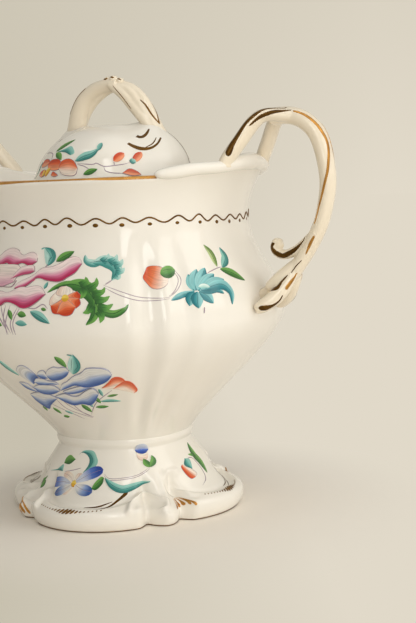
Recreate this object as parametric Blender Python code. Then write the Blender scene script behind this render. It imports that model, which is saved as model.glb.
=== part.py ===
"""Covered porcelain sugar bowl: a fluted, squarish bowl on a scrolled foot, two forked strap handles,
and a lid with a loop. Metres, +Z up. The origin is on the table under the middle of the foot, and the
right handle points along +X."""

import math

import bmesh
import bpy
from mathutils import Vector

# Bowl
BASE_RADIUS = 0.0246
BELLY_RADIUS = 0.0603
NECK_RADIUS = 0.0483
RIM_RADIUS = 0.0530
BASE_HEIGHT = 0.0277
RIM_HEIGHT = 0.1226
NECK_DROP = 0.0141
BELLY_SHARE = 0.558
WALL = 0.0035
FLOOR = 0.0050
SQUARE_POWER = 2.3
FLUTE_DEPTH = 0.0014
FLUTE_PITCH = math.radians(13)
FLUTE_REACH = math.radians(22)
RIM_REACH = 0.0025
RIM_RISE = 0.0054
LIP_POWER = 1.8

# Seat for the lid
LEDGE_DROP = 0.0104
LEDGE_WIDTH = 0.0044
LEDGE_THICKNESS = 0.0026
LID_CLEARANCE = 0.0006

# Foot
FOOT_LOBE = 0.0458
FOOT_LOBE_FALL = 0.0044
FOOT_CORNER = 0.0046
FOOT_NOTCH = 0.0028
FOOT_EDGE = 0.0070
FOOT_WALL = 0.0042
FOOT_RIDGE = 0.0013
WAIST_RING = 0.0010
WAIST_RING_HEIGHT = 0.0024

# Rim scrolls
SCROLL_RADIUS = 0.0030
SCROLL_STEPS = 18

# Handles
HANDLE_OUT = 0.0250
HANDLE_RISE = 0.0202
STRAP_WIDTH = 0.0092
STRAP_THICKNESS = 0.0052
FORK_SPREAD = 0.0175
LEAF_SPREAD = 0.0105
LEAF_DROP = 0.0060
LEAF_LIFT = 0.0062

# Lid
LID_SHOULDER_RADIUS = 0.0302
LID_SHOULDER_RISE = 0.0158
LID_CROWN_RISE = 0.0309
LID_EDGE = 0.0026
LID_WALL = 0.0030
FLANGE_DEPTH = 0.0070
LOOP_SPAN = 0.0180
LOOP_RISE = 0.0143
LOOP_THICKNESS = 0.0064
KNOT_RADIUS = 0.0034

# Space left between two pieces that are stuck together
GAP = 0.0003

PANEL_STEPS = 6
CORNER_STEPS = 10
CORNER_HALF = math.radians(20)

NECK_HEIGHT = RIM_HEIGHT - NECK_DROP
BELLY_HEIGHT = BASE_HEIGHT + BELLY_SHARE * (NECK_HEIGHT - BASE_HEIGHT)
HANDLE_REACH = BELLY_RADIUS + HANDLE_OUT
HANDLE_TOP = RIM_HEIGHT + HANDLE_RISE
LEDGE_HEIGHT = RIM_HEIGHT - LEDGE_DROP
SEAT_RADIUS = NECK_RADIUS - WALL
THROAT_RADIUS = SEAT_RADIUS - LEDGE_WIDTH
LID_BASE = LEDGE_HEIGHT + GAP
LID_CROWN = LID_BASE + LID_CROWN_RISE


def bezier(start, first, second, end, steps):
    """Points along a cubic curve, both ends included."""
    points = []
    for i in range(steps + 1):
        t = i / steps
        u = 1 - t
        points.append(
            start * u**3 + first * 3 * u * u * t + second * 3 * u * t * t + end * t**3
        )
    return points


def curve_through(points, steps):
    """A smooth curve through the given points, with the same number of steps in each span."""
    ends = [2 * points[0] - points[1]] + points + [2 * points[-1] - points[-2]]
    result = []
    for a, b, c, d in zip(ends, ends[1:], ends[2:], ends[3:]):
        result += bezier(b, b + (c - a) / 6, c - (d - b) / 6, c, steps)[:-1]
    return result + [points[-1]]


def smooth_step(value):
    t = min(max(value, 0), 1)
    return t * t * (3 - 2 * t)


def plan_angles():
    """Angles round the plan, closer together across the fluted corners."""
    angles = []
    for quarter in range(4):
        corner = math.radians(45 + 90 * quarter)
        for i in range(CORNER_STEPS):
            angles.append(corner - CORNER_HALF + 2 * CORNER_HALF * i / CORNER_STEPS)
        panel = math.radians(90) - 2 * CORNER_HALF
        for i in range(PANEL_STEPS):
            angles.append(corner + CORNER_HALF + panel * i / PANEL_STEPS)
    return angles


def from_corner(angle):
    """Signed angle to the nearest corner of the plan."""
    return (angle % math.radians(90)) - math.radians(45)


def square_plan(angle):
    total = abs(math.cos(angle)) ** SQUARE_POWER + abs(math.sin(angle)) ** SQUARE_POWER
    return total ** (-1 / SQUARE_POWER)


def flute_wave(angle):
    """0 on the panels and on each rib, 1 in the hollows beside a rib."""
    off = from_corner(angle)
    if abs(off) > FLUTE_REACH:
        return 0
    fade = math.cos(math.pi * off / (2 * FLUTE_REACH)) ** 2
    return fade * (0.5 - 0.5 * math.cos(2 * math.pi * off / FLUTE_PITCH))


def side_wave(angle):
    """1 below the handles, falling away before the corners to 0 on the front and back."""
    return max(0, math.cos(2 * angle)) ** LIP_POWER


def bowl_point(angle, radius, height, square=1, flute=0, flare=0):
    plan = 1 + (square_plan(angle) - 1) * square
    flare *= side_wave(angle)
    out = radius * plan + flare * RIM_REACH - flute * FLUTE_DEPTH * flute_wave(angle)
    return Vector((out * math.cos(angle), out * math.sin(angle), height + flare * RIM_RISE))


def bowl_profile():
    """Outer profile as (radius, height) from the base to the neck."""
    base = Vector((BASE_RADIUS, BASE_HEIGHT))
    belly = Vector((BELLY_RADIUS, BELLY_HEIGHT))
    neck = Vector((NECK_RADIUS, NECK_HEIGHT))
    swell = BELLY_RADIUS - BASE_RADIUS
    rise = BELLY_HEIGHT - BASE_HEIGHT
    fall = NECK_HEIGHT - BELLY_HEIGHT
    low = bezier(base, base + Vector((0.28 * swell, 0.30 * rise)), belly - Vector((0, 0.24 * rise)), belly, 9)
    high = bezier(belly, belly + Vector((0, 0.38 * fall)), neck - Vector((0, 0.38 * fall)), neck, 8)
    return low + high[1:]


def rim_profile():
    """Outer profile from the neck to the rim."""
    rise = RIM_HEIGHT - NECK_HEIGHT
    return bezier(
        Vector((NECK_RADIUS, NECK_HEIGHT)),
        Vector((NECK_RADIUS, NECK_HEIGHT + 0.45 * rise)),
        Vector((RIM_RADIUS - 0.45 * (RIM_RADIUS - NECK_RADIUS), RIM_HEIGHT - 0.25 * rise)),
        Vector((RIM_RADIUS, RIM_HEIGHT)),
        4,
    )


def flute_strength(height):
    """Full at the belly, none at the base or the neck."""
    low = smooth_step((height - BASE_HEIGHT) / (0.5 * (BELLY_HEIGHT - BASE_HEIGHT)))
    high = smooth_step((NECK_HEIGHT - height) / (0.6 * (NECK_HEIGHT - BELLY_HEIGHT)))
    return low * high


def rim_strength(height):
    return max(0, (height - NECK_HEIGHT) / (RIM_HEIGHT - NECK_HEIGHT)) ** 1.5


def bowl_rings(grow):
    """Rings from the outside of the base over the rim to the floor, each face moved out by grow."""
    angles = plan_angles()
    rows = [(BASE_RADIUS + grow, BASE_HEIGHT - grow, 1, 0, 0)]
    profile = bowl_profile()
    for spot in profile[1:]:
        rows.append((spot.x + grow, spot.y, 1, flute_strength(spot.y), 0))
    rim = rim_profile()
    for spot in rim[1:]:
        rows.append((spot.x + grow, spot.y, 1, 0, rim_strength(spot.y)))
    rows.append((RIM_RADIUS - WALL / 2, RIM_HEIGHT + 0.25 * WALL + grow, 1, 0, 1))
    for spot in reversed(rim[2:]):
        rows.append((spot.x - WALL - grow, spot.y, 1, 0, rim_strength(spot.y)))
    rows.append((SEAT_RADIUS - grow, LEDGE_HEIGHT + grow, 0, 0, 0))
    rows.append((THROAT_RADIUS - grow, LEDGE_HEIGHT + grow, 0, 0, 0))
    rows.append((THROAT_RADIUS - grow, LEDGE_HEIGHT - LEDGE_THICKNESS - grow, 0, 0, 0))
    inner = []
    for before, spot, after in zip(profile, profile[1:], profile[2:]):
        along = (after - before).normalized()
        inner.append(spot + Vector((-along.y, along.x)) * (WALL + grow))
    top = LEDGE_HEIGHT - 2.5 * LEDGE_THICKNESS
    floor = BASE_HEIGHT + FLOOR
    for spot in reversed(inner[::2]):
        if floor + FLOOR / 2 < spot.y < top:
            rows.append((spot.x, spot.y, 1, 0, 0))
    rows.append((0.55 * BASE_RADIUS, floor + grow, 1, 0, 0))
    return [[bowl_point(angle, *row) for angle in angles] for row in rows]


def foot_outline(angle):
    """Plan radius of the foot's edge: a broad lobe to each side, and a small bump between two notches at
    each corner."""
    off = abs(math.degrees(from_corner(angle)))
    lobe = FOOT_LOBE - FOOT_LOBE_FALL * ((45 - off) / 34) ** 2
    bump = FOOT_CORNER * math.exp(-((off / 5.0) ** 2))
    notch = FOOT_NOTCH * math.exp(-(((off - 10) / 3.2) ** 2))
    return lobe + bump - notch


def lobe_ridge(angle):
    """Height of the raised scroll that frames each lobe: two humps with a dip on the lobe's middle."""
    off = abs(math.degrees(from_corner(angle)))
    return math.exp(-(((off - 24) / 9) ** 2)) + 0.5 * math.exp(-((off / 4.5) ** 2))


def foot_rings():
    """Rings from the foot ring outwards over the edge and stem to the waist, then down the hollow."""
    angles = plan_angles()
    top = BASE_HEIGHT - GAP
    waist = BASE_RADIUS + WAIST_RING
    ring_base = top - WAIST_RING_HEIGHT
    stem = ring_base - FOOT_EDGE
    outer = [
        (0.955, 0, 0, 0),
        (0.985, 0, 0.15 * FOOT_EDGE, 0),
        (1.0, 0, 0.42 * FOOT_EDGE, 0),
        (0.985, 0, 0.78 * FOOT_EDGE, 0),
        (0.94, 0, FOOT_EDGE, 0.7),
        (0.87, 0, FOOT_EDGE + 0.08 * stem, 1),
        (0.80, 0.15, FOOT_EDGE + 0.18 * stem, 0.6),
        (0.72, 0.45, FOOT_EDGE + 0.36 * stem, 0.1),
        (0.65, 0.75, FOOT_EDGE + 0.56 * stem, 0),
        (0.595, 0.95, FOOT_EDGE + 0.80 * stem, 0),
        (0.565, 1, FOOT_EDGE + 0.98 * stem, 0),
    ]
    rings = []
    for share, blend, height, ridge in outer:
        ring = []
        for angle in angles:
            lobed = foot_outline(angle) * share
            plain = FOOT_LOBE * share * square_plan(angle)
            out = lobed + (plain - lobed) * smooth_step(blend)
            lift = FOOT_RIDGE * ridge * lobe_ridge(angle)
            ring.append(Vector((out * math.cos(angle), out * math.sin(angle), height + lift)))
        rings.append(ring)
    stations = [
        (waist, ring_base + 0.0004),
        (waist + 0.0002, ring_base + 0.35 * WAIST_RING_HEIGHT),
        (waist - 0.0005, ring_base + 0.55 * WAIST_RING_HEIGHT),
        (waist, ring_base + 0.75 * WAIST_RING_HEIGHT),
        (BASE_RADIUS, top),
        (BASE_RADIUS - FOOT_WALL, top),
        (BASE_RADIUS - FOOT_WALL, ring_base),
    ]
    for radius, height in stations:
        rings.append([bowl_point(angle, radius, height) for angle in angles])
    hollow = [(0.58, FOOT_EDGE + 0.40 * stem), (0.74, FOOT_EDGE), (0.82, 0)]
    for share, height in hollow:
        ring = []
        for angle in angles:
            out = foot_outline(angle) * share
            ring.append(Vector((out * math.cos(angle), out * math.sin(angle), height)))
        rings.append(ring)
    return rings


def lid_profile():
    """Outer profile as (radius, height) from the edge to the crown."""
    radius = SEAT_RADIUS - LID_CLEARANCE
    edge = Vector((radius, LID_BASE + LID_EDGE))
    shoulder = Vector((LID_SHOULDER_RADIUS, LID_BASE + LID_SHOULDER_RISE))
    crown = Vector((0, LID_CROWN))
    skirt = bezier(
        edge,
        edge + Vector((-0.007, 0.0018)),
        shoulder + Vector((0.0014, -0.0075)),
        shoulder,
        6,
    )
    dome = bezier(
        shoulder,
        shoulder + Vector((-0.0014, 0.0078)),
        crown + Vector((0.66 * LID_SHOULDER_RADIUS, 0)),
        crown,
        8,
    )
    return skirt + dome[1:-1]


def lid_rings(grow):
    """Rings from the crown down the outside, round the edge and locating flange, and up the inside."""
    angles = [2 * math.pi * i / 48 for i in range(48)]
    profile = lid_profile()
    rows = [(spot.x + grow, spot.y + grow) for spot in reversed(profile)]
    edge = SEAT_RADIUS - LID_CLEARANCE
    flange = THROAT_RADIUS - LID_CLEARANCE
    rows.append((edge + grow, LID_BASE - grow))
    rows.append((flange + grow, LID_BASE - grow))
    rows.append((flange + grow, LID_BASE - FLANGE_DEPTH - grow))
    rows.append((flange - LID_WALL - grow, LID_BASE - FLANGE_DEPTH - grow))
    rows.append((flange - LID_WALL - grow, LID_BASE))
    for spot in profile[3::2]:
        rows.append((spot.x - LID_WALL - grow, spot.y - LID_WALL - grow))
    rows = [row for row in rows if row[0] > 0.002]
    return [
        [Vector((radius * math.cos(a), radius * math.sin(a), height)) for a in angles]
        for radius, height in rows
    ]


def mesh_object(name, rings, cyclic):
    """One closed mesh through rings of equal length, capped at both ends unless it runs round."""
    mesh = bmesh.new()
    rows = [[mesh.verts.new(spot) for spot in ring] for ring in rings]
    count = len(rows[0])
    pairs = list(zip(rows, rows[1:]))
    if cyclic:
        pairs.append((rows[-1], rows[0]))
    for low, high in pairs:
        for i in range(count):
            j = (i + 1) % count
            mesh.faces.new((low[i], low[j], high[j], high[i]))
    if not cyclic:
        mesh.faces.new(reversed(rows[0]))
        mesh.faces.new(rows[-1])
    bmesh.ops.recalc_face_normals(mesh, faces=mesh.faces)
    data = bpy.data.meshes.new(name)
    mesh.to_mesh(data)
    mesh.free()
    data.shade_smooth()
    data.set_sharp_from_angle(angle=math.radians(40))
    obj = bpy.data.objects.new(name, data)
    bpy.context.scene.collection.objects.link(obj)
    return obj


def tube_rings(path, widths, thicknesses, across, sides):
    """Elliptical sections along a path: width along the across direction, or outwards from the bowl's axis
    where none is given, and thickness square to it."""
    rings = []
    for i, spot in enumerate(path):
        before = path[max(i - 1, 0)]
        after = path[min(i + 1, len(path) - 1)]
        along = (after - before).normalized()
        wide = across or Vector((spot.x, spot.y, 0))
        wide = (wide - along * wide.dot(along)).normalized()
        thick = along.cross(wide)
        ring = []
        for k in range(sides):
            turn = 2 * math.pi * (k + 0.5) / sides
            ring.append(
                spot
                + wide * (math.cos(turn) * widths[i] / 2)
                + thick * (math.sin(turn) * thicknesses[i] / 2)
            )
        rings.append(ring)
    return rings


def taper(count, start, middle, end):
    """Sizes along a path that swell from start to middle and fall to end."""
    sizes = []
    for i in range(count):
        t = i / (count - 1)
        edge = start if t < 0.5 else end
        sizes.append(edge + (middle - edge) * math.sin(math.pi * t) ** 0.6)
    return sizes


def as_helper(obj):
    obj.hide_render = True
    obj.display_type = "WIRE"
    return obj


def combine(obj, others, operation):
    for other in others:
        modifier = obj.modifiers.new(operation.lower(), "BOOLEAN")
        modifier.operation = operation
        modifier.solver = "EXACT"
        modifier.object = as_helper(other)


def glazed(obj, colour, roughness):
    material = bpy.data.materials.new(obj.name + "_porcelain")
    material.use_nodes = True
    shader = material.node_tree.nodes["Principled BSDF"]
    shader.inputs["Base Color"].default_value = (*colour, 1)
    shader.inputs["Roughness"].default_value = roughness
    obj.data.materials.append(material)
    return obj


def turned(spot, half_turn):
    """The spot, or its place on the opposite side."""
    return Vector((-spot.x, -spot.y, spot.z)) if half_turn else spot


def scroll_spot(angle):
    """Middle of the rim scroll, on the outer edge of the rim."""
    flare = side_wave(angle)
    out = RIM_RADIUS * square_plan(angle) + RIM_REACH * flare + 0.15 * SCROLL_RADIUS
    height = RIM_HEIGHT + RIM_RISE * flare - 0.10 * SCROLL_RADIUS
    return Vector((out * math.cos(angle), out * math.sin(angle), height))


def scroll_rings(half_turn, grow):
    reach = math.radians(46)
    path = []
    for i in range(SCROLL_STEPS + 1):
        path.append(turned(scroll_spot(2 * reach * i / SCROLL_STEPS - reach), half_turn))
    sizes = taper(len(path), 0.9 * SCROLL_RADIUS, 2 * SCROLL_RADIUS, 0.9 * SCROLL_RADIUS)
    sizes = [size + 2 * grow for size in sizes]
    return tube_rings(path, sizes, sizes, None, 8)


def strap_path():
    """Centreline of a handle from the fork at the top, out and down to the belly."""
    low = BELLY_HEIGHT + 0.002
    drop = HANDLE_TOP - low
    inset = HANDLE_REACH - BELLY_RADIUS
    points = [
        (HANDLE_REACH - 0.80 * inset, HANDLE_TOP),
        (HANDLE_REACH - 0.52 * inset, HANDLE_TOP),
        (HANDLE_REACH - 0.28 * inset, HANDLE_TOP - 0.04 * drop),
        (HANDLE_REACH - 0.10 * inset, HANDLE_TOP - 0.13 * drop),
        (HANDLE_REACH, HANDLE_TOP - 0.32 * drop),
        (HANDLE_REACH - 0.06 * inset, HANDLE_TOP - 0.48 * drop),
        (HANDLE_REACH - 0.18 * inset, HANDLE_TOP - 0.60 * drop),
        (HANDLE_REACH - 0.42 * inset, HANDLE_TOP - 0.74 * drop),
        (HANDLE_REACH - 0.70 * inset, HANDLE_TOP - 0.86 * drop),
        (HANDLE_REACH - 1.06 * inset, HANDLE_TOP - 0.99 * drop),
    ]
    return curve_through([Vector((x, 0, z)) for x, z in points], 3)


def fork_path(side):
    """One arm of the fork, from the strap's top down onto the rim scroll."""
    root = scroll_spot(side * math.asin(FORK_SPREAD / (RIM_RADIUS + RIM_REACH)))
    start = Vector((HANDLE_REACH - 0.50 * (HANDLE_REACH - BELLY_RADIUS), side * 0.0012, HANDLE_TOP))
    height = HANDLE_TOP - root.z
    points = [
        start,
        start.lerp(root, 0.45) + Vector((-0.0010, 0, 0.38 * height)),
        start.lerp(root, 0.80) + Vector((-0.0016, 0, 0.26 * height)),
        root,
    ]
    return curve_through(points, 3)


def curl_path():
    """The curl that leaves the strap's inner side low down and turns up towards the bowl."""
    inset = HANDLE_REACH - BELLY_RADIUS
    drop = HANDLE_TOP - BELLY_HEIGHT
    points = [
        (HANDLE_REACH - 0.28 * inset, HANDLE_TOP - 0.61 * drop),
        (HANDLE_REACH - 0.46 * inset, HANDLE_TOP - 0.665 * drop),
        (HANDLE_REACH - 0.66 * inset, HANDLE_TOP - 0.70 * drop),
        (HANDLE_REACH - 0.80 * inset, HANDLE_TOP - 0.67 * drop),
        (HANDLE_REACH - 0.78 * inset, HANDLE_TOP - 0.62 * drop),
    ]
    return curve_through([Vector((x, 0, z)) for x, z in points], 2)


def leaf_path(spread, tip_height):
    """A leaf tip from the foot of the strap onto the belly."""
    start = Vector((BELLY_RADIUS + 0.0075, 0.25 * spread, BELLY_HEIGHT + 0.0130))
    tip = Vector((BELLY_RADIUS - 0.0004, spread, tip_height))
    middle = start.lerp(tip, 0.55) + Vector((-0.0010, 0.15 * spread, 0.0008))
    return curve_through([start, middle, tip], 4)


def handle(name, half_turn, cutters):
    """Strap, fork, curl and leaf tips in one piece, cut back to the surfaces it is stuck to."""
    across = Vector((0, 1, 0))

    def tube(label, path, widths, thicknesses, sides, wide=across):
        placed = [turned(spot, half_turn) for spot in path]
        return mesh_object(label, tube_rings(placed, widths, thicknesses, wide, sides), False)

    path = strap_path()
    count = len(path)
    widths = [STRAP_WIDTH * (0.80 + 0.30 * abs(2 * i / (count - 1) - 1)) for i in range(count)]
    thicknesses = [STRAP_THICKNESS] * count
    body = tube(name, path, widths, thicknesses, 10)
    extras = []
    for side, label in ((-1, "near"), (1, "far")):
        arm = fork_path(side)
        sizes = taper(len(arm), 0.0050, 0.0060, 0.0044)
        extras.append(tube(f"{name}_{label}_arm", arm, sizes, sizes, 8))
        for place, share in (("low", 1), ("high", 0.55)):
            leaf = leaf_path(side * share * LEAF_SPREAD, BELLY_HEIGHT + LEAF_LIFT - share * LEAF_DROP)
            sizes = taper(len(leaf), 0.0046, 0.0062, 0.0026)
            extras.append(tube(f"{name}_{label}_{place}_leaf", leaf, sizes, sizes, 8))
    curl = curl_path()
    sizes = taper(len(curl), 0.0046, 0.0052, 0.0036)
    extras.append(tube(f"{name}_curl", curl, sizes, [0.85 * size for size in sizes], 8))
    combine(body, extras, "UNION")
    combine(body, cutters, "DIFFERENCE")
    return body


def loop_path():
    points = [
        (-0.90 * LOOP_SPAN, LID_CROWN - 0.28 * LOOP_RISE),
        (-0.85 * LOOP_SPAN, LID_CROWN + 0.28 * LOOP_RISE),
        (-0.62 * LOOP_SPAN, LID_CROWN + 0.72 * LOOP_RISE),
        (-0.25 * LOOP_SPAN, LID_CROWN + 0.97 * LOOP_RISE),
        (0.08 * LOOP_SPAN, LID_CROWN + LOOP_RISE),
        (0.42 * LOOP_SPAN, LID_CROWN + 0.86 * LOOP_RISE),
        (0.68 * LOOP_SPAN, LID_CROWN + 0.52 * LOOP_RISE),
        (0.89 * LOOP_SPAN, LID_CROWN + 0.10 * LOOP_RISE),
        (1.08 * LOOP_SPAN, LID_CROWN - 0.30 * LOOP_RISE),
    ]
    return curve_through([Vector((x, 0, z)) for x, z in points], 3)


def loop_rings(grow):
    path = loop_path()
    sizes = [LOOP_THICKNESS + 2 * grow] * len(path)
    return tube_rings(path, sizes, sizes, Vector((0, 1, 0)), 10)


def lid_loop(cutter):
    """Loop with a leaf that runs from its right root down the shoulder of the lid."""
    loop = mesh_object("lid_loop", loop_rings(0), False)
    shoulder = LID_BASE + LID_SHOULDER_RISE
    points = [
        Vector((0.86 * LOOP_SPAN, 0, LID_CROWN + 0.0018)),
        Vector((1.28 * LOOP_SPAN, 0, LID_CROWN - 0.0050)),
        Vector((LID_SHOULDER_RADIUS - 0.0004, 0, shoulder + 0.0036)),
        Vector((LID_SHOULDER_RADIUS + 0.0006, 0, shoulder - 0.0030)),
    ]
    leaf = curve_through(points, 4)
    widths = taper(len(leaf), 0.0058, 0.0110, 0.0050)
    flat = taper(len(leaf), 0.0050, 0.0046, 0.0026)
    blade = mesh_object("lid_loop_leaf", tube_rings(leaf, widths, flat, Vector((0, 1, 0)), 8), False)
    combine(loop, [blade], "UNION")
    combine(loop, [cutter], "DIFFERENCE")
    return loop


def lid_knot(cutter):
    """Small bud on top of the loop."""
    top = LID_CROWN + LOOP_RISE + LOOP_THICKNESS / 2
    rings = []
    for i in range(1, 8):
        lean = math.pi * i / 8
        ring = []
        for k in range(12):
            turn = 2 * math.pi * k / 12
            ring.append(
                Vector((
                    0.0006 + KNOT_RADIUS * math.cos(lean),
                    0.85 * KNOT_RADIUS * math.sin(lean) * math.cos(turn),
                    top - 0.0004 + 0.6 * KNOT_RADIUS * math.sin(lean) * math.sin(turn),
                ))
            )
        rings.append(ring)
    knot = mesh_object("lid_knot", rings, False)
    combine(knot, [cutter], "DIFFERENCE")
    return knot


def build():
    for obj in list(bpy.data.objects):
        bpy.data.objects.remove(obj)
    white = (0.84, 0.80, 0.71)
    glazed(mesh_object("bowl", bowl_rings(0), False), white, 0.12)
    glazed(mesh_object("foot", foot_rings(), True), white, 0.14)
    bowl_space = mesh_object("bowl_space", bowl_rings(GAP), False)
    for name, half_turn in (("right", False), ("left", True)):
        scroll = mesh_object(f"rim_scroll_{name}", scroll_rings(half_turn, 0), False)
        combine(scroll, [bowl_space], "DIFFERENCE")
        glazed(scroll, white, 0.14)
        scroll_space = mesh_object(f"rim_scroll_{name}_space", scroll_rings(half_turn, GAP), False)
        glazed(handle(f"handle_{name}", half_turn, [bowl_space, scroll_space]), white, 0.16)
    lid = glazed(mesh_object("lid", lid_rings(0), False), white, 0.12)
    loop = glazed(lid_loop(as_helper(mesh_object("lid_space", lid_rings(GAP), False))), white, 0.15)
    knot = glazed(lid_knot(mesh_object("loop_space", loop_rings(GAP), False)), white, 0.15)
    cover = bpy.data.objects.new("cover", None)
    cover.location = (0, 0, LID_BASE)
    bpy.context.scene.collection.objects.link(cover)
    for piece in (lid, loop, knot):
        piece.parent = cover
        piece.matrix_parent_inverse.translation = (0, 0, -LID_BASE)


build()
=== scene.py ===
"""Looks of the covered sugar bowl: glazed porcelain with overglaze flowers and gilding.

Shapes are worked out in millimetres. A place on a wall is (turn, up): degrees round from the painted
front, positive towards the right handle, and millimetres along the wall from its lower edge."""

import math

import bmesh
import bpy
import numpy as np
from mathutils import Matrix, Vector
from mathutils.bvhtree import BVHTree


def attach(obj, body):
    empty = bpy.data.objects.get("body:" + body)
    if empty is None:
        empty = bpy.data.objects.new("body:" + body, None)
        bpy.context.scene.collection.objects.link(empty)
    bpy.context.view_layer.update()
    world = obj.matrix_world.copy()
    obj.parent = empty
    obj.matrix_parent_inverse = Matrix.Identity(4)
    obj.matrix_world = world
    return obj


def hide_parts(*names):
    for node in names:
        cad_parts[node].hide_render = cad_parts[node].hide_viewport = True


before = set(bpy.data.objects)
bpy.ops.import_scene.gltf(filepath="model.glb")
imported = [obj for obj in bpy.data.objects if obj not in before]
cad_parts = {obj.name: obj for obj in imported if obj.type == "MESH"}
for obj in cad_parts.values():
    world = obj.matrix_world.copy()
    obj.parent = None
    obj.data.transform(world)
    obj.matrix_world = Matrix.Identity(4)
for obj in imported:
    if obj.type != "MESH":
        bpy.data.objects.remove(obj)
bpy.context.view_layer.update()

MM = 0.001

# Bowl
BASE_RADIUS = 23.7
BELLY_RADIUS = 60.3
NECK_RADIUS = 48.3
RIM_RADIUS = 53.0
BASE_HEIGHT = 27.7
RIM_HEIGHT = 122.6
NECK_DROP = 14.1
BELLY_SHARE = 0.558
WALL = 3.5
FLOOR = 5.0
SQUARE_POWER = 2.3
FLUTE_DEPTH = 1.9
FLUTE_PITCH = 13.0
FLUTE_REACH = 22.0
RIM_REACH = 2.5
RIM_RISE = 5.4
LIP_POWER = 1.8
RIM_ROLL = 1.3
LEDGE_DROP = 10.4
LEDGE_WIDTH = 4.4
LEDGE_THICKNESS = 2.6

# Foot
FOOT_LOBE = 45.8
FOOT_LOBE_FALL = 4.4
FOOT_CORNER = 4.6
FOOT_NOTCH = 3.5
FOOT_SIDE_LESS = 1.5
FOOT_TURN = 5.0
LOBE_SPREAD = 34.0
CORNER_BREADTH = 4.8
NOTCH_AWAY = 10.3
NOTCH_BREADTH = 3.1
FOOT_EDGE = 7.0
FOOT_WALL = 4.2
COLLAR_RADIUS = 24.9
COLLAR_LOW = 25.6
COLLAR_TOP = 29.6

# Rim scrolls and handles
SCROLL_RADIUS = 3.0
SCROLL_REACH = 46.0
SCROLL_LIFT = 2.0
HANDLE_OUT = 25.0
HANDLE_RISE = 20.2
STRAP_WIDTH = 9.2
STRAP_THICKNESS = 5.2
FORK_SPREAD = 17.5

# Lid
LID_CLEARANCE = 0.6
LID_SHOULDER_RADIUS = 30.2
LID_SHOULDER_RISE = 15.8
LID_CROWN_RISE = 30.9
LID_EDGE = 2.6
LID_WALL = 3.0
FLANGE_DEPTH = 7.0
LOOP_RISE = 14.3
LOOP_THICKNESS = 6.4
RIDGE_BREADTH = 17.0
HOLLOW_AWAY = 38.0
HOLLOW_BREADTH = 20.0
LEFT_TURN = -60.0
LEFT_BREADTH = 25.0
GAP = 0.3

NECK_HEIGHT = RIM_HEIGHT - NECK_DROP
BELLY_HEIGHT = BASE_HEIGHT + BELLY_SHARE * (NECK_HEIGHT - BASE_HEIGHT)
HANDLE_REACH = BELLY_RADIUS + HANDLE_OUT
HANDLE_TOP = RIM_HEIGHT + HANDLE_RISE
LEDGE_HEIGHT = RIM_HEIGHT - LEDGE_DROP
SEAT_RADIUS = NECK_RADIUS - WALL
THROAT_RADIUS = SEAT_RADIUS - LEDGE_WIDTH
LID_BASE = LEDGE_HEIGHT + GAP
LID_CROWN = LID_BASE + LID_CROWN_RISE

# Camera: where the photograph was taken from
CAMERA_ROUND = math.radians(30)
CAMERA_DISTANCE = 0.490
CAMERA_HEIGHT = 0.123
CAMERA_YAW = math.radians(3.9)
CAMERA_PITCH = math.radians(5.95)
CAMERA_ROLL = math.radians(2.3)
LENS = 75.1
SENSOR = 36.0


def linear(hex_colour):
    """An sRGB hex colour as linear red, green, blue and alpha."""
    parts = [int(hex_colour[i : i + 2], 16) / 255 for i in (1, 3, 5)]
    return [c / 12.92 if c <= 0.04045 else ((c + 0.055) / 1.055) ** 2.4 for c in parts] + [1.0]


def bezier(start, first, second, end, steps):
    t = np.linspace(0, 1, steps + 1)[:, None]
    start, first, second, end = (np.asarray(p, float) for p in (start, first, second, end))
    return start * (1 - t) ** 3 + 3 * first * t * (1 - t) ** 2 + 3 * second * t * t * (1 - t) + end * t**3


def curve_through(points, steps):
    """A smooth curve through the points, with the same number of steps in each span."""
    points = np.asarray(points, float)
    ends = np.concatenate([[2 * points[0] - points[1]], points, [2 * points[-1] - points[-2]]])
    spans = []
    for a, b, c, d in zip(ends, ends[1:], ends[2:], ends[3:]):
        spans.append(bezier(b, b + (c - a) / 6, c - (d - b) / 6, c, steps)[:-1])
    return np.concatenate(spans + [points[-1:]])


def smooth_step(value):
    t = np.clip(value, 0, 1)
    return t * t * (3 - 2 * t)


def bell(away, breadth):
    """1 in the middle, falling away smoothly on both sides."""
    return np.exp(-((away / breadth) ** 2))


def run_along(line):
    """Length of a line of points up to each of them."""
    return np.concatenate([[0], np.cumsum(np.linalg.norm(np.diff(line, axis=0), axis=1))])


def read_off(at, run, line):
    """Each column of a line of points, read at a length along it."""
    return [np.interp(at, run, column) for column in line.T]


def chained(*curves):
    """Curves end to end, with the run along them."""
    line = np.concatenate([curves[0]] + [curve[1:] for curve in curves[1:]])
    return run_along(line), line


def off_corner(turn):
    """Degrees to the nearest corner of the plan."""
    return (turn % 90) - 45


def square_plan(turn):
    angle = np.radians(turn)
    total = np.abs(np.cos(angle)) ** SQUARE_POWER + np.abs(np.sin(angle)) ** SQUARE_POWER
    return total ** (-1 / SQUARE_POWER)


def flute_wave(turn):
    """0 on the panels and on each rib, 1 in the hollows beside a rib."""
    off = off_corner(turn)
    fade = np.where(np.abs(off) < FLUTE_REACH, np.cos(np.pi * off / (2 * FLUTE_REACH)) ** 2, 0)
    return fade * (0.5 - 0.5 * np.cos(2 * np.pi * off / FLUTE_PITCH))


def side_wave(turn):
    """1 below the handles, falling away before the corners to 0 on the front and back."""
    return np.maximum(0, -np.cos(2 * np.radians(turn))) ** LIP_POWER


def place(turn, out, height):
    """Points at a turn round the bowl's axis, a distance out from it and a height."""
    angle = np.radians(turn)
    return np.stack(np.broadcast_arrays(out * np.sin(angle), -out * np.cos(angle), height), -1)


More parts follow.
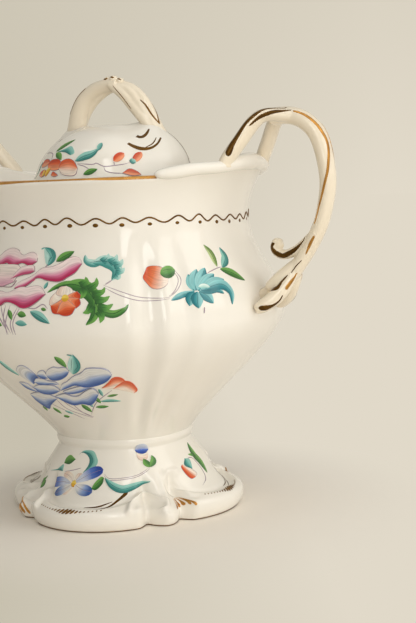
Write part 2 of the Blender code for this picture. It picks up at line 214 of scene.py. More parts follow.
def bowl_outline():
    swell = BELLY_RADIUS - BASE_RADIUS
    rise = BELLY_HEIGHT - BASE_HEIGHT
    fall = NECK_HEIGHT - BELLY_HEIGHT
    lift = RIM_HEIGHT - NECK_HEIGHT
    base = np.array([BASE_RADIUS, BASE_HEIGHT])
    belly = np.array([BELLY_RADIUS, BELLY_HEIGHT])
    neck = np.array([NECK_RADIUS, NECK_HEIGHT])
    rim = np.array([RIM_RADIUS, RIM_HEIGHT])
    low = bezier(base, base + (0.25 * swell, 0.31 * rise), belly - (0, 0.24 * rise), belly, 200)
    high = bezier(belly, belly + (0, 0.38 * fall), neck - (0, 0.38 * fall), neck, 160)
    reach = 0.45 * (RIM_RADIUS - NECK_RADIUS)
    flare = bezier(neck, neck + (0, 0.45 * lift), rim - (reach, 0.25 * lift), rim, 60)
    return chained(low, high, flare)


BOWL_RUN, BOWL_LINE = bowl_outline()


def rim_flare(turn, height):
    share = np.maximum(0, (height - NECK_HEIGHT) / (RIM_HEIGHT - NECK_HEIGHT)) ** 1.5
    return np.minimum(share, 1) * side_wave(turn)


def bowl_place(turn, radius, height, square=1.0, flute=0.0, flare=0.0):
    """Points of the bowl, with a share each of its squarish plan, its flutes and its flared rim."""
    out = radius * (1 + (square_plan(turn) - 1) * square)
    out = out + flare * RIM_REACH - flute * FLUTE_DEPTH * flute_wave(turn)
    return place(turn, out, height + flare * RIM_RISE)


def bowl_wall(turn, up):
    """Outside of the bowl, with its flutes and flared rim."""
    turn, up = np.broadcast_arrays(np.asarray(turn, float), np.asarray(up, float))
    radius, height = read_off(up, BOWL_RUN, BOWL_LINE)
    low = smooth_step((height - BASE_HEIGHT) / (0.3 * (BELLY_HEIGHT - BASE_HEIGHT)))
    high = smooth_step((NECK_HEIGHT - height) / (0.6 * (NECK_HEIGHT - BELLY_HEIGHT)))
    return bowl_place(turn, radius, height, 1, low * high, rim_flare(turn, height))


def rim_roll(turn, over):
    """Rounded top of the rim: over runs from 0 on its outside to 1 on its inside."""
    turn, over = np.broadcast_arrays(np.asarray(turn, float), np.asarray(over, float))
    radius = RIM_RADIUS - WALL / 2 * (1 - np.cos(np.pi * over))
    height = RIM_HEIGHT + RIM_ROLL * np.sin(np.pi * over)
    return bowl_place(turn, radius, height, 1, 0, side_wave(turn))


def lid_outline():
    edge = np.array([SEAT_RADIUS - LID_CLEARANCE, LID_BASE + LID_EDGE])
    shoulder = np.array([LID_SHOULDER_RADIUS, LID_BASE + LID_SHOULDER_RISE])
    crown = np.array([0, LID_CROWN])
    skirt = bezier(edge, edge + (-7.0, 1.8), shoulder + (1.4, -7.5), shoulder, 100)
    dome = bezier(shoulder, shoulder + (-1.4, 7.8), crown + (0.66 * LID_SHOULDER_RADIUS, 0), crown, 120)
    return chained(skirt, dome)


LID_RUN, LID_LINE = lid_outline()
# Height of the ridge and depth of the hollows at each length up the lid
ROOT_RIDGE = curve_through(
    [(2, 0), (12, 0.1), (20, 0.2), (27, 0.4), (34, 1.2), (39, 2.4), (44, 1.6), (50, 0)], 8
)
ROOT_HOLLOW = curve_through([(6, 0), (12, 0.5), (20.4, 2.0), (28, 2.2), (36, 1.4), (46, 0)], 8)
LEFT_HOLLOW = curve_through([(10, 0), (20, 0.7), (28, 1.6), (35, 2.5), (41, 1.6), (47, 0)], 8)


def profile(up, curve):
    """Height of a ridge or depth of a hollow, which is 0 beyond its ends."""
    return np.interp(up, curve[:, 0], curve[:, 1], 0, 0)


def lid_top(turn, up, wall=0.0):
    """Outside of the lid, which rises in a ridge to each root of its loop, with a hollow on both sides of it
    that is deepest at the left of the front. With a wall it gives the inside, which follows the outside."""
    turn, up = np.broadcast_arrays(np.asarray(turn, float), np.asarray(up, float))
    slope = np.gradient(LID_LINE, axis=0)
    slope /= np.linalg.norm(slope, axis=1)[:, None]
    radius, height = read_off(up, LID_RUN, LID_LINE)
    inward, upward = read_off(up, LID_RUN, -slope[:, ::-1])
    away = np.abs(turn % 180 - 90)
    left = (turn - LEFT_TURN + 180) % 360 - 180
    swell = profile(up, ROOT_RIDGE) * bell(away, RIDGE_BREADTH)
    swell -= profile(up, ROOT_HOLLOW) * bell(away - HOLLOW_AWAY, HOLLOW_BREADTH)
    swell -= profile(up, LEFT_HOLLOW) * bell(left, LEFT_BREADTH)
    return place(turn, radius - inward * swell - wall, height + upward * swell - wall)


def foot_outline(turn):
    """Plan radius of the foot's edge: a broad lobe to each side, a bump between notches at each corner."""
    turn = turn - FOOT_TURN
    off = np.abs(off_corner(turn))
    lobe = FOOT_LOBE - FOOT_LOBE_FALL * ((45 - off) / LOBE_SPREAD) ** 2
    lobe -= FOOT_SIDE_LESS * np.sin(np.radians(turn)) ** 4
    return lobe + FOOT_CORNER * bell(off, CORNER_BREADTH) - FOOT_NOTCH * bell(off - NOTCH_AWAY, NOTCH_BREADTH)


# Lines of the foot's relief as (degrees from the corner, up)
VOLUTE = (
    (-20, 6.6), (-18.6, 11), (-16, 13.4), (-11.5, 15.2), (-7, 15.6),
    (-3, 14), (0.2, 11.6), (-0.4, 8.6), (-2.8, 7.2),
)
LOBE_END = ((2, 12), (3.4, 16), (3.8, 21), (7, 24.4), (15, 25.2))
LOBE_CREASE = ((4, 26), (5, 20.2), (6, 16.8), (8, 14.8), (11, 12.6), (17, 9.6))
# Height, degrees from the corner, up and breadth of the ball, the knob and the hollow beside a volute
FOOT_BUMPS = ((1.9, -2.6, 4.6, 1.7), (1.2, -15.5, 6.4, 2.2), (-0.9, -7.5, 10.6, 2.6))
ROLL_HEIGHT = 1.7
DISH_DEPTH = 0.6
VOLUTE_HEIGHT = 1.6
LOBE_END_HEIGHT = 0.8
LOBE_CREASE_DEPTH = 0.7
CREASE_UP = 10.8
CREASE_CLIMB = 6.5
RELIEF_OUT = 0.55
RELIEF_UP = 0.75
# Millimetres in a degree round the foot's lobes
DEGREE = 0.66


def ridge(spots, across, up, breadth):
    """1 on the smooth line through the spots, falling away on both sides."""
    line = curve_through(spots, 10) * (DEGREE, 1)
    away = np.min([(across * DEGREE - x) ** 2 + (up - y) ** 2 for x, y in line], axis=0)
    return np.exp(-away / breadth**2)


def foot_relief(turn, up):
    """Modelled rolls of the foot: a rolled edge under the crease of each lobe, a volute with a ball at each
    corner and the upturned ends of the two side lobes."""
    turn = turn - FOOT_TURN
    off = off_corner(turn)
    off = np.where((turn // 90) % 2 == 0, off, -off)
    lobe = 45 - np.abs(off)
    crease = CREASE_UP + CREASE_CLIMB * (lobe / 33) ** 3
    inner = smooth_step((36 - lobe) / 7)
    roll = ROLL_HEIGHT * smooth_step((crease - up) / 2.0) * smooth_step((up - 1.0) / 5.0)
    dish = DISH_DEPTH * bell(up - crease - 0.9, 1.3)
    relief = (roll - dish) * inner + VOLUTE_HEIGHT * ridge(VOLUTE, off, up, 0.95)
    relief += LOBE_END_HEIGHT * ridge(LOBE_END, off, up, 1.6)
    relief -= LOBE_CREASE_DEPTH * ridge(LOBE_CREASE, off, up, 1.2)
    for height, across, rise, breadth in FOOT_BUMPS:
        relief += height * bell(np.hypot((off - across) * DEGREE, up - rise), breadth)
    return relief


def foot_stations():
    """Share of the lobed plan, blend to the squarish stem and height, from the table up."""
    stem = COLLAR_LOW - FOOT_EDGE
    stations = [
        (0.955, 0, 0),
        (0.985, 0, 0.15 * FOOT_EDGE),
        (1.0, 0, 0.42 * FOOT_EDGE),
        (0.985, 0, 0.78 * FOOT_EDGE),
        (0.94, 0, FOOT_EDGE),
        (0.87, 0, FOOT_EDGE + 0.08 * stem),
        (0.80, 0.15, FOOT_EDGE + 0.18 * stem),
        (0.72, 0.45, FOOT_EDGE + 0.36 * stem),
        (0.65, 0.75, FOOT_EDGE + 0.56 * stem),
        (0.575, 0.95, FOOT_EDGE + 0.80 * stem),
        (0.530, 1, COLLAR_LOW - 0.4),
    ]
    tall = COLLAR_TOP - COLLAR_LOW
    for inset, share in ((0.5, 0.15), (0.1, 0.40), (0, 0.65), (0.2, 0.85), (0.7, 1.0), (1.5, 1.0)):
        stations.append(((COLLAR_RADIUS - inset) / FOOT_LOBE, 1, COLLAR_LOW + share * tall))
    line = curve_through(stations, 16)
    return run_along(line[:, ::2] * (FOOT_LOBE, 1)), line


FOOT_RUN, FOOT_LINE = foot_stations()


def foot_top(turn, up):
    """Outside of the foot from the table over its edge and up the stem."""
    turn, up = np.broadcast_arrays(np.asarray(turn, float), np.asarray(up, float))
    share, blend, height = read_off(up, FOOT_RUN, FOOT_LINE)
    lobed = foot_outline(turn) * share
    plain = FOOT_LOBE * share * square_plan(turn)
    out = lobed + (plain - lobed) * smooth_step(blend)
    relief = foot_relief(turn, up)
    return place(turn, out + RELIEF_OUT * relief, height + RELIEF_UP * relief)


def add_node(tree, kind, links=(), **settings):
    """A shader or geometry node with its settings, its plain inputs and its links by input name."""
    node = tree.nodes.new(kind)
    for name, value in settings.items():
        if hasattr(node, name):
            setattr(node, name, value)
        else:
            node.inputs[name.replace("_", " ")].default_value = value
    for name, socket in links:
        tree.links.new(socket, node.inputs[name])
    return node


def new_material(name, **look):
    """A material with its node tree and its shader, whose plain inputs are given by name."""
    material = bpy.data.materials.new(name)
    material.use_nodes = True
    shader = material.node_tree.nodes["Principled BSDF"]
    for key, value in look.items():
        shader.inputs[key.replace("_", " ")].default_value = value
    return material, material.node_tree, shader


def patches(tree, spot, size, detail):
    """Soft random patches of a size in millimetres."""
    noise = add_node(tree, "ShaderNodeTexNoise", [("Vector", spot)], Scale=1 / (size * MM), Detail=detail)
    return noise.outputs["Fac"]


def between(tree, factor, first, second):
    """Colour that runs from the first to the second as the factor rises."""
    ends = {"A": linear(first), "B": linear(second)}
    return add_node(tree, "ShaderNodeMix", [("Factor", factor)], data_type="RGBA", **ends).outputs["Result"]


def ranged(tree, value, **limits):
    """A value stretched from one range to another."""
    return add_node(tree, "ShaderNodeMapRange", [("Value", value)], **limits).outputs["Result"]


def porcelain(name, body_colour, thin_colour):
    """Hard white porcelain under a clear glaze. The body is a warm white that drifts a little in tone where
    the glaze pools, and the glaze is smooth with the long low ripple of a dipped piece, so lamps show as
    clear, slightly wavering highlights."""
    material, tree, shader = new_material(name, Roughness=0.09, IOR=1.5)
    spot = add_node(tree, "ShaderNodeTexCoord").outputs["Object"]
    tone = between(tree, patches(tree, spot, 22, 3.0), thin_colour, body_colour)
    tree.links.new(tone, shader.inputs["Base Color"])
    ripple = patches(tree, spot, 9, 1.0)
    bump = add_node(tree, "ShaderNodeBump", [("Height", ripple)], Strength=0.25, Distance=0.12 * MM)
    tree.links.new(bump.outputs["Normal"], shader.inputs["Normal"])
    return material


def in_scene(name, data):
    obj = bpy.data.objects.new(name, data)
    bpy.context.scene.collection.objects.link(obj)
    return obj


def worked_in(rough, name):
    """Mesh of a rough object with its modifiers worked in. The rough object goes."""
    mesh = bpy.data.meshes.new_from_object(rough.evaluated_get(bpy.context.evaluated_depsgraph_get()))
    bpy.data.objects.remove(rough)
    mesh.name = name
    return mesh


def finished(name, vertices, faces, material, outward=False):
    """A mesh object from vertices in millimetres, with its faces turned outwards."""
    vertices = np.asarray(vertices, float)
    mesh = bpy.data.meshes.new(name)
    mesh.from_pydata((vertices * MM).tolist(), [], [list(map(int, face)) for face in faces])
    mesh.materials.append(material)
    if not outward:
        shape = bmesh.new()
        shape.from_mesh(mesh)
        if shape.calc_volume(signed=True) < 0:
            bmesh.ops.reverse_faces(shape, faces=shape.faces)
        shape.to_mesh(mesh)
        shape.free()
    mesh.shade_smooth()
    return in_scene(name, mesh)


def skin(rings, first=None, last=None, ring_closed=False):
    """Vertices and faces through rings of equal length. A pole closes an end where a point is given, and the
    rings run round into each other where ring_closed is set."""
    rings = np.asarray(rings, float)
    rows, count = rings.shape[:2]
    vertices = rings.reshape(-1, 3)
    index = np.arange(rows * count).reshape(rows, count)
    low = index if ring_closed else index[:-1]
    high = np.roll(index, -1, axis=0) if ring_closed else index[1:]
    corners = [low, np.roll(low, -1, axis=1), np.roll(high, -1, axis=1), high]
    faces = np.stack(corners, -1).reshape(-1, 4).tolist()
    for pole, ring, flip in ((first, index[0], True), (last, index[-1], False)):
        if pole is None:
            continue
        vertices = np.concatenate([vertices, [pole]])
        tip = len(vertices) - 1
        for a, b in zip(ring, np.roll(ring, -1)):
            faces.append([tip, b, a] if flip else [tip, a, b])
    return vertices, faces


def bowl_piece(material):
    turns = np.arange(0, 360, 1.0)
    rings = [bowl_wall(turns, up) for up in np.linspace(0, BOWL_RUN[-1], 150)]
    rings += [rim_roll(turns, over) for over in np.linspace(0.1, 0.9, 8)]
    for up in np.linspace(BOWL_RUN[-1], BOWL_RUN[-1] - 0.55 * NECK_DROP, 10):
        radius, height = read_off(up, BOWL_RUN, BOWL_LINE)
        rings.append(bowl_place(turns, radius - WALL, height, 1, 0, rim_flare(turns, height)))
    seat = [
        (SEAT_RADIUS + 0.2, LEDGE_HEIGHT + 0.7),
        (SEAT_RADIUS - 0.3, LEDGE_HEIGHT + 0.1),
        (SEAT_RADIUS - 0.9, LEDGE_HEIGHT),
        (THROAT_RADIUS + 0.5, LEDGE_HEIGHT),
        (THROAT_RADIUS + 0.1, LEDGE_HEIGHT - 0.2),
        (THROAT_RADIUS, LEDGE_HEIGHT - 0.6),
        (THROAT_RADIUS, LEDGE_HEIGHT - LEDGE_THICKNESS + 0.6),
        (THROAT_RADIUS + 0.3, LEDGE_HEIGHT - LEDGE_THICKNESS),
        (THROAT_RADIUS + 2.0, LEDGE_HEIGHT - 1.6 * LEDGE_THICKNESS),
    ]
    rings += [bowl_place(turns, radius, height, 0) for radius, height in seat]
    inside_top = LEDGE_HEIGHT - 2.5 * LEDGE_THICKNESS
    floor = BASE_HEIGHT + FLOOR
    for up in np.linspace(BOWL_RUN[-1], 0, 80):
        radius, height = read_off(up, BOWL_RUN, BOWL_LINE)
        if floor + FLOOR / 2 < height < inside_top:
            rings.append(bowl_place(turns, radius - WALL, height, 1))
    for share in (0.8, 0.55, 0.3):
        rings.append(bowl_place(turns, share * BASE_RADIUS, floor + 2.0 * share * share, 1))
    shape = skin(rings, (0, 0, BASE_HEIGHT), (0, 0, floor))
    return finished("bowl_glazed", *shape, material)


def foot_piece(material):
    turns = np.arange(0, 360, 0.75)
    rings = [foot_top(turns, up) for up in np.linspace(0, FOOT_RUN[-1], 130)]
    top = BASE_HEIGHT - GAP
    for radius, height in ((BASE_RADIUS - FOOT_WALL, top), (BASE_RADIUS - FOOT_WALL, top - 2.4)):
        rings.append(bowl_place(turns, radius, height))
    stem = COLLAR_LOW - FOOT_EDGE
    for share, height in ((0.58, FOOT_EDGE + 0.40 * stem), (0.74, FOOT_EDGE), (0.80, 1.0), (0.82, 0)):
        rings.append(place(turns, foot_outline(turns) * share, height))
    return finished("foot_glazed", *skin(rings, ring_closed=True), material)


def lid_piece(material):
    turns = np.arange(0, 360, 1.5)
    edge = SEAT_RADIUS - LID_CLEARANCE
    flange = THROAT_RADIUS - LID_CLEARANCE
    rings = [lid_top(turns, up) for up in np.linspace(LID_RUN[-1] - 1.0, 0, 110)]
    stations = [
        (edge + 0.1, LID_BASE + 0.8 * LID_EDGE),
        (edge + 0.1, LID_BASE + 0.4 * LID_EDGE),
        (edge - 0.3, LID_BASE + 0.1),
        (edge - 0.8, LID_BASE),
        (flange + 0.3, LID_BASE),
        (flange, LID_BASE - 0.4),
        (flange, LID_BASE - FLANGE_DEPTH + 0.8),
        (flange - 0.5, LID_BASE - FLANGE_DEPTH),
        (flange - LID_WALL + 0.5, LID_BASE - FLANGE_DEPTH),
        (flange - LID_WALL, LID_BASE - FLANGE_DEPTH + 0.6),
        (flange - LID_WALL, LID_BASE),
    ]
    rings += [place(turns, np.full_like(turns, radius), height) for radius, height in stations]
    for up in np.linspace(0.25 * LID_RUN[-1], LID_RUN[-1] - 4.0, 30):
        if np.interp(up, LID_RUN, LID_LINE[:, 0]) > LID_WALL + 1.0:
            rings.append(lid_top(turns, up, LID_WALL))
    shape = skin(rings, (0, 0, LID_CROWN), (0, 0, LID_CROWN - LID_WALL))
    return finished("lid_glazed", *shape, material)


def half_turned(points, turned):
    """Points of the right side, taken round to the left side where turned is set."""
    return points * (-1, -1, 1) if turned else points


def swept(path, widths, thicknesses, across=None, sides=28):
    """Rings along a path: width runs along the across direction, or outwards from the bowl's axis where none
    is given, and thickness square to it."""
    path = np.asarray(path, float)
    count = len(path)
    widths = np.broadcast_to(widths, count)
    thicknesses = np.broadcast_to(thicknesses, count)
    turn = 2 * np.pi * np.arange(sides) / sides
    along = np.gradient(path, axis=0)
    along /= np.linalg.norm(along, axis=1)[:, None]
    rings = []
    for i, spot in enumerate(path):
        wide = np.array([spot[0], spot[1], 0]) if across is None else np.asarray(across, float)
        wide = wide - along[i] * (wide @ along[i])
        wide /= np.linalg.norm(wide)
        thick = np.cross(along[i], wide)
        ring = np.outer(np.cos(turn), wide) * widths[i] / 2
        ring += np.outer(np.sin(turn), thick) * thicknesses[i] / 2
        rings.append(spot + ring)
    return rings


def taper(count, start, middle, end, power=0.6):
    """Sizes along a path that swell from start to middle and fall to end."""
    t = np.linspace(0, 1, count)
    edge = np.where(t < 0.5, start, end)
    return edge + (middle - edge) * np.sin(np.pi * t) ** power


def scroll_spot(turn):
    """Middle of the rim scroll, on the outer edge of the rim."""
    flare = side_wave(turn)
    out = RIM_RADIUS * square_plan(turn) + RIM_REACH * flare + 0.15 * SCROLL_RADIUS
    return place(turn, out, RIM_HEIGHT + RIM_RISE * flare - 0.10 * SCROLL_RADIUS)


# Share of the way from the handle to a scroll's end, and the roll's size there
SCROLL_SIZES = (
    (0, 6.2), (0.2, 5.3), (0.4, 4.3), (0.6, 4.2), (0.78, 4.4),
    (0.88, 4.1), (0.95, 3.1), (0.985, 1.7), (1.0, 0.4),
)


def scroll_piece(name, turned, material):
    """Rolled lip whose two ends fill out from a fine tip like a comma, fullest again under the handle."""
    turns = np.linspace(90 - SCROLL_REACH, 90 + SCROLL_REACH, 240)
    path = half_turned(scroll_spot(turns), turned)
    away = np.abs(turns - 90) / SCROLL_REACH
    line = curve_through(SCROLL_SIZES, 12)
    sizes = np.interp(away, line[:, 0], line[:, 1])
    path[:, 2] += SCROLL_LIFT * smooth_step((away - 0.35) / 0.4)
    rings = swept(path, sizes, sizes, sides=40)
    return finished(name, *skin(rings, path[0], path[-1]), material)


def strap_path():
    low = BELLY_HEIGHT + 2.0
    drop = HANDLE_TOP - low
    shares = [
        (0.80, 0), (0.52, 0), (0.28, 0.04), (0.10, 0.13), (0, 0.32),
        (0.06, 0.48), (0.18, 0.60), (0.42, 0.74), (0.68, 0.85), (1.06, 0.935),
    ]
    points = [(HANDLE_REACH - inward * HANDLE_OUT, 0, HANDLE_TOP - down * drop) for inward, down in shares]
    return curve_through(points, 12)


def fork_path(side):
    spread = math.degrees(math.asin(0.87 * FORK_SPREAD / (RIM_RADIUS + RIM_REACH)))
    root = scroll_spot(90 + side * spread)
    start = np.array([HANDLE_REACH - 0.50 * HANDLE_OUT, side * 1.2, HANDLE_TOP])
    height = HANDLE_TOP - root[2]
    middle = start + (root - start) * 0.45 + (-0.2, 0, 0.38 * height + 1.0)
    near = start + (root - start) * 0.80 + (0, 0, 0.26 * height)
    tip = root + (0.3, side * 0.3, -1.2)
    return curve_through([start, middle, near, root + (0, 0, 1.2), tip], 12)


def curl_path():
    """From the strap's inner side down to the hook and round its inner bead."""
    points = [
        (79, 0, 100.8), (74, 0, 96.6), (69.8, 0, 94.6), (66.6, 0, 94.6),
        (64.8, 0, 96.4), (65.2, 0, 98.7), (67, 0, 98.7),
    ]
    return curve_through(points, 10)


def lobe_paths(side):
    """The two lobes on one side of the leaf that the strap spreads into on the belly."""
    upper = [(74, 1, 92), (70.5, 2, 88.9), (66.9, 3, 86), (62.6, 4, 82.6)]
    lower = [(72, 2, 88), (69.5, 3.5, 83.6), (66.6, 6, 79.8), (63, 8.8, 77), (60.4, 10, 75.6)]
    return [curve_through(np.array(points) * (1, side, 1), 12) for points in (upper, lower)]


def fused(name, tubes, voxel, material):
    """One skin over overlapping tubes, as where rolls of clay are worked together."""
    vertices = []
    faces = []
    for rings, start, end in tubes:
        more, shape = skin(rings, start, end)
        faces += [[corner + len(vertices) for corner in face] for face in shape]
        vertices += list(more)
    rough = finished(name + "_rough", vertices, faces, material)
    remesh = rough.modifiers.new("worked_together", "REMESH")
    remesh.mode = "VOXEL"
    remesh.voxel_size = voxel * MM
    smooth = rough.modifiers.new("sponged", "SMOOTH")
    smooth.iterations = 7
    smooth.factor = 0.5
    mesh = worked_in(rough, name)
    mesh.materials.clear()
    mesh.materials.append(material)
    mesh.shade_smooth()
    return in_scene(name, mesh)


def tube(path, widths, thicknesses):
    """Rings of a roll of clay that is widest from front to back, with its two ends."""
    return swept(path, widths, thicknesses, (0, 1, 0)), path[0], path[-1]


def handle_piece(name, turned, material):
    """Strap with its two arms to the rim, four leaf lobes on the belly, and the curl with its bead."""
    path = half_turned(strap_path(), turned)
    share = np.linspace(0, 1, len(path))
    widths = STRAP_WIDTH * np.interp(share, (0, 0.5, 0.8, 1), (1.1, 0.8, 0.85, 0.6))
    thicknesses = STRAP_THICKNESS * np.interp(share, (0, 0.3, 0.6, 1), (1.2, 1.2, 1.0, 1.0))
    tubes = [tube(path, widths, thicknesses)]
    for side in (-1, 1):
        arm = half_turned(fork_path(side), turned)
        tubes.append(tube(arm, taper(len(arm), 7.0, 8.4, 6.4), taper(len(arm), 4.8, 4.6, 4.0)))
        for lobe, width, thickness in zip(lobe_paths(side), (5.2, 6.0), (4.8, 5.4)):
            lobe = half_turned(lobe, turned)
            sizes = (taper(len(lobe), 3.0, middle, 2.0, 0.45) for middle in (width, thickness))
            tubes.append(tube(lobe, *sizes))
    curl = half_turned(curl_path(), turned)
    tubes.append(tube(curl, taper(len(curl), 4.6, 5.4, 4.4), taper(len(curl), 3.6, 3.4, 2.2)))
    bead = half_turned(curve_through([(64.9, 0, 97.2), (66.4, 0, 97.6), (67.9, 0, 97.6)], 8), turned)
    tubes.append(tube(bead, taper(len(bead), 0.6, 4.2, 0.6), taper(len(bead), 0.6, 3.0, 0.6)))
    return fused(name, tubes, 0.32, material)


def loop_piece(material):
    """Broad strap and a thinner strand behind it on the left, three reeds on the right."""
    strap = curve_through([
        (-15.8, 0, 138.6), (-14.8, 0, 142.7), (-13.4, 0, 148.2), (-10.6, 0, 153.2),
        (-6, 0, 156.5), (0, 0, 158.0), (4, 0, 158.0),
    ], 12)
    share = np.linspace(0, 1, len(strap))
    tubes = [tube(strap, LOOP_THICKNESS, np.interp(share, (0, 0.3, 0.55, 0.8, 1), (8.0, 7.0, 5.8, 5.0, 4.0)))]
    strand = curve_through([
        (-15.4, 2, 138.6), (-14.2, 2.2, 143.5), (-11.8, 2.4, 148.6),
        (-8, 2.2, 152.8), (-3, 1.6, 155.8), (2, 1, 157.4),
    ], 12)
    tubes.append(tube(strand, 4.4, taper(len(strand), 3.6, 4.2, 3.0)))
    reeds = (
        ((1.5, -1.4, 158), (6.8, -1.6, 154), (11, -1.6, 149.2), (15.6, -1.4, 143.6), (19, -1, 138.6)),
        ((2, -0.2, 158.4), (8.2, -0.4, 155.3), (12.2, -0.6, 150.8), (16, -0.6, 145), (20, -0.2, 138.8)),
        ((3, 1.2, 158.6), (9.2, 1.0, 156), (13.4, 0.8, 152), (16.2, 0.8, 147.4), (19, 1, 142), (22, 1, 137)),
    )
    for reed in reeds:
        path = curve_through(reed, 12)
        tubes.append(tube(path, 4.4, taper(len(path), 3.0, 4.2, 3.6)))
    return fused("lid_loop_glazed", tubes, 0.3, material)


def knot_piece(material):
    """Small knot of three beads on top of the loop."""
    top = LID_CROWN + LOOP_RISE + LOOP_THICKNESS / 2
    tubes = []
    for across, deep, drop, size in ((-0.2, 0, 1.4, 3.4), (2.4, -0.5, 1.1, 3.2), (4.7, 0, 1.8, 2.8)):
        ends = [(across + reach * size, deep, top - drop) for reach in (-0.55, 0.55)]
        path = np.linspace(*ends, 24)
        sizes = taper(len(path), 0.4, size, 0.4)
        tubes.append(tube(path, 1.3 * sizes, sizes))
    return fused("lid_knot_glazed", tubes, 0.22, material)


def stand(obj, body, node):
    """The finished piece moves with the body and stands for the node."""
    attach(obj, body)
    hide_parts(node)
    return obj


# Each enamel where the brush was laid down, in the middle and at its thin far side
ENAMELS = {
    "rose": ("#B01550", "#D4769C", "#EDDAD6"),
    "blush": ("#D9A3B4", "#E6CBC9", "#EADDD2"),
    "blue": ("#35579A", "#86A0CC", "#DEDCD8"),
    "cobalt": ("#22439A", "#4E70BE", "#C9CFDD"),
    "coral": ("#D4552C", "#E8946C", "#F0DFCF"),
    "bud": ("#D04A1E", "#E67E50", "#F1E0D0"),
    "orange": ("#C23A12", "#DA5A2B", "#EB966C"),
    "cream": ("#E6CDBB", "#EEE0CF", "#F0E6D8"),
    "green": ("#2C6129", "#428436", "#68A04A"),
    "lime": ("#5A7A34", "#8AA65A", "#B4C48A"),
    "seafoam": ("#37857F", "#68B0A6", "#B4D9CF"),
    "teal": ("#2A7470", "#4A9C92", "#8FC6BA"),
    "turquoise": ("#17707A", "#3A949B", "#86C2C2"),
    "aqua": ("#76B9B2", "#AED6CD", "#E2EBE2"),
    "yellow": ("#C98F1E", "#E5B92F", "#EFCF5A"),
    "stem": ("#9A8691", "#A8969F", "#B5A5AD"),
    "ink": ("#957982", "#957982", "#957982"),
    "slate": ("#A3A5B8", "#A3A5B8", "#A3A5B8"),
    "shade": ("#1F4F2A", "#1F4F2A", "#1F4F2A"),
    "dusk": ("#1F5A60", "#1F5A60", "#1F5A60"),
}
DEPTHS = (0.07, 0.38, 0.82)
PETAL_DEPTHS = {"rose": (0.04, 0.30, 0.74), "blue": (0.05, 0.34, 0.76)}
ENAMEL_RISE = 0.045
ENAMEL_STEP = 0.010
ENAMEL_ROOT = 0.06
PEN = 0.13
ROW_STEP = 0.8
BLADE_STEP = 0.55
PETAL_STEP = 0.6
STREAK_STEP = 7.3
NUDGE = 0.05
TURQUOISE_FULLNESS = 1.35


def slab_faces(index):
    """Faces of a thin closed body whose top corners are numbered in a grid, with as many again under them."""
    under = index.size
    loop = np.concatenate([index[:, 0], index[-1, 1:], index[-2::-1, -1], index[0, -2:0:-1]])
    after = np.roll(loop, -1)
    quads = np.stack([index[:-1, :-1], index[1:, :-1], index[1:, 1:], index[:-1, 1:]], -1).reshape(-1, 4)
    wall = np.stack([loop, loop + under, after + under, after], -1)
    return np.concatenate([quads, quads[:, ::-1] + under, wall])


